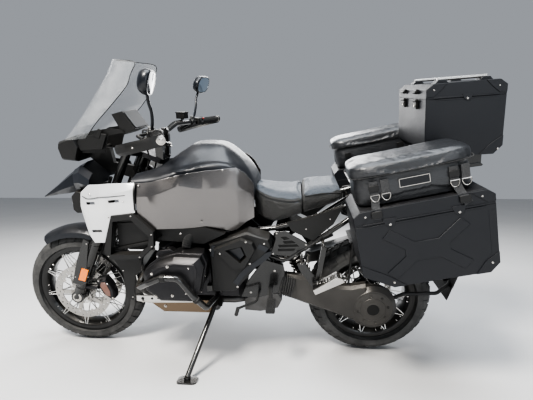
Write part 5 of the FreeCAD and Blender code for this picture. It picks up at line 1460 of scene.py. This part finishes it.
top = Shape(TOP_CASE)
top_seam = Shape(TOP_CASE)
for sign in (-1, 1):
    face = sign * TOP_FACE
    tab(top, 160, face, 14, 44, 26, sign * 3)
    top_seam.slab(((40, -2), (268, -2), (268, -6), (40, -6)), face, face + sign * 1.4)
    top.slab(((30, 7), (278, 7), (278, 2), (30, 2)), face, face + sign * 2)
    cap = ((0.4, 10), (0.4, 39), (27, 59.6), (80, 59.6), (60, 38), (28, 10))
    foot_cap = ((0.4, -160), (0.4, -201), (34, -234.6), (88, -234.6), (46, -190))
    for corner, foot_corner in zip(both_ends(cap, TOP_LONG), both_ends(foot_cap, TOP_LONG)):
        top.slab(corner, face - sign, face + sign * CAP_PROUD)
        top_seam.slab(foot_corner, face - sign, face + sign * CAP_PROUD)
for y in (-152, 152):
    for start, end in ((44, 96), (216, 268)):
        top.slab(((start, 59.6), (start + 12, 73), (end - 12, 73), (end, 59.6)), y - 24, y + 24)
top.show("top_lid_trims", CASE_COAT, "top_lid", edge=1.2)
top_seam.show("top_case_seams", CASE_COAT, edge=0.6)
tubes = Shape(TOP_CASE)
for y in (-152, 152):
    tubes.bar((58, y, 76), (254, y, 76), 7.2, 20)
tubes.show("top_rails", ALUMINIUM, "top_lid")
latches = Shape(TOP_CASE)
hooks = Shape(TOP_CASE)
for y in (-92, 92):
    latches.box((-6, y, -22), (11, 44, 34))
    latches.bar((-9, y - 24, -4), (-9, y + 24, -4), 6.5, 16)
    hooks.slab(((-5, 22), (-0.5, 22), (-0.5, 42), (-8, 42), (-14, 34), (-14, 24)), y - 16, y + 16)
    hooks.bar((-12, y - 20, 30), (-12, y + 20, 30), 6, 14)
latches.show("top_case_latches", PLASTIC, edge=1.5)
hooks.show("top_lid_hooks", PLASTIC, "top_lid", edge=1.5)
keys = Shape(TOP_CASE)
for y in (-92, 92):
    keys.lathe((-11, y, -24), (-1, 0, 0), ((0, 8), (2.5, 8), (3, 6.6), (1.6, 6), (1.4, 1)), 18)
keys.show("top_case_locks", STEEL)
bolt_face = TOP_FACE + TAB_THICK
rows = [(x, sign * bolt_face, -214, (0, sign, 0), 4.4) for sign in (-1, 1) for x in (290, 18)]
fastened("top_case_rivets", RIVET, rows, place=TOP_CASE)
rows = [(160, sign * bolt_face, -4, (0, sign, 0), 4.6) for sign in (-1, 1)]
rows += [(x, sign * bolt_face, 36, (0, sign, 0), 3.4) for sign in (-1, 1) for x in (30, 278)]
fastened("top_lid_bolts", BUTTON, rows, "top_lid", place=TOP_CASE)


# Tank cover: one smooth skin over cross rows of the machine, cut clear of the steering
TANK_ROWS = (
    # x, then (y, z) of crown, shoulder, crease, edge and floor
    (568, ((50, 950), (100, 946), (130, 938), (158, 920), (150, 890))),
    (600, ((60, 1012), (98, 1008), (140, 990), (172, 960), (160, 880))),
    (650, ((60, 1070), (100, 1058), (150, 1040), (190, 1010), (180, 870))),
    (717, ((60, 1118), (104, 1100), (160, 1064), (204, 1030), (190, 850))),
    (800, ((60, 1127), (110, 1104), (170, 1060), (216, 1026), (200, 840))),
    (861, ((62, 1122), (118, 1098), (176, 1052), (226, 1012), (210, 840))),
    (914, ((80, 1094), (126, 1078), (186, 1042), (236, 1004), (220, 840))),
    (1003, ((80, 1040), (136, 1034), (196, 1020), (244, 980), (228, 850))),
    (1108, ((140, 1010), (150, 1010), (196, 1004), (244, 978), (228, 880))),
)


def tank_section(x, marks):
    """A rounded section from the floor on the right over the crown to the floor on the left."""
    half = [(x, y, z) for y, z in reversed(marks)]
    crown = (x, 0, marks[0][1] + 1.5)
    left = smooth_path(half + [crown], 5)
    left = left[:-1] + [Vector(crown)]
    return left + [Vector((point.x, -point.y, point.z)) for point in reversed(left[:-1])]


sections = [tank_section(x, marks) for x, marks in TANK_ROWS]
tracks = [smooth_path([section[index] for section in sections], 6) for index in range(len(sections[0]))]
skin = Shape().rings([[track[step] for track in tracks] for step in range(len(tracks[0]))])
cover = skin.show("tank_cover_skin", SATIN, sharp=50)
STEERING_FOOT_Z = 960
steering_foot = Vector((FRONT_AXLE[0] + TRAIL - STEERING_FOOT_Z * math.tan(RAKE), 0, STEERING_FOOT_Z))
steering_way = Vector((-math.sin(RAKE), 0, math.cos(RAKE)))
clearance = Shape()
clearance.lathe(steering_foot - steering_way * 20, steering_way, ((0, 178), (420, 178)), 64)
clearance.lathe(steering_foot - steering_way * 130, steering_way, ((0, 60), (320, 60)), 32)
room = bpy.data.objects.new("steering_room", clearance.baked("steering_room"))
scene.collection.objects.link(room)
cut = cover.modifiers.new("steering_room", "BOOLEAN")
cut.operation, cut.object, cut.solver, cut.use_self = "DIFFERENCE", room, "EXACT", True
trimmed = evaluated(cover)
cover.modifiers.clear()
cover.data = trimmed
bpy.data.objects.remove(room)
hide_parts("tank_cover")


# The other CAD pieces, with their edges broken
EASED = (
    # node, width of the broken edge in mm
    ("engine_block", 5), ("cylinders", 3), ("skid_plate", 1), ("exhaust", 3), ("main_frame", 2.5),
    ("rear_frame", 1.5), ("swing_arm", 5), ("radiator_ducts", 3), ("beak", 2.5), ("headlight", 3),
    ("cockpit", 2), ("side_covers", 3), ("left_case", 2), ("right_case", 2), ("top_case", 2),
    ("left_case_lid", 2.5), ("right_case_lid", 2.5), ("top_case_lid", 2.5),
    ("tank_panels", 1.5), ("front_panels", 1.5), ("fork_bridges", 2.5), ("fork_legs", 2),
    ("bar_controls", 2), ("brake_calipers", 3), ("rider_footrests", 2),
    ("pillion_footrests", 1.5), ("rear_rack", 2), ("tail_lamp", 3), ("side_stand", 2),
    ("front_fender", 1), ("rear_fender", 1),
)
for node, width in EASED:
    eased(node, width)
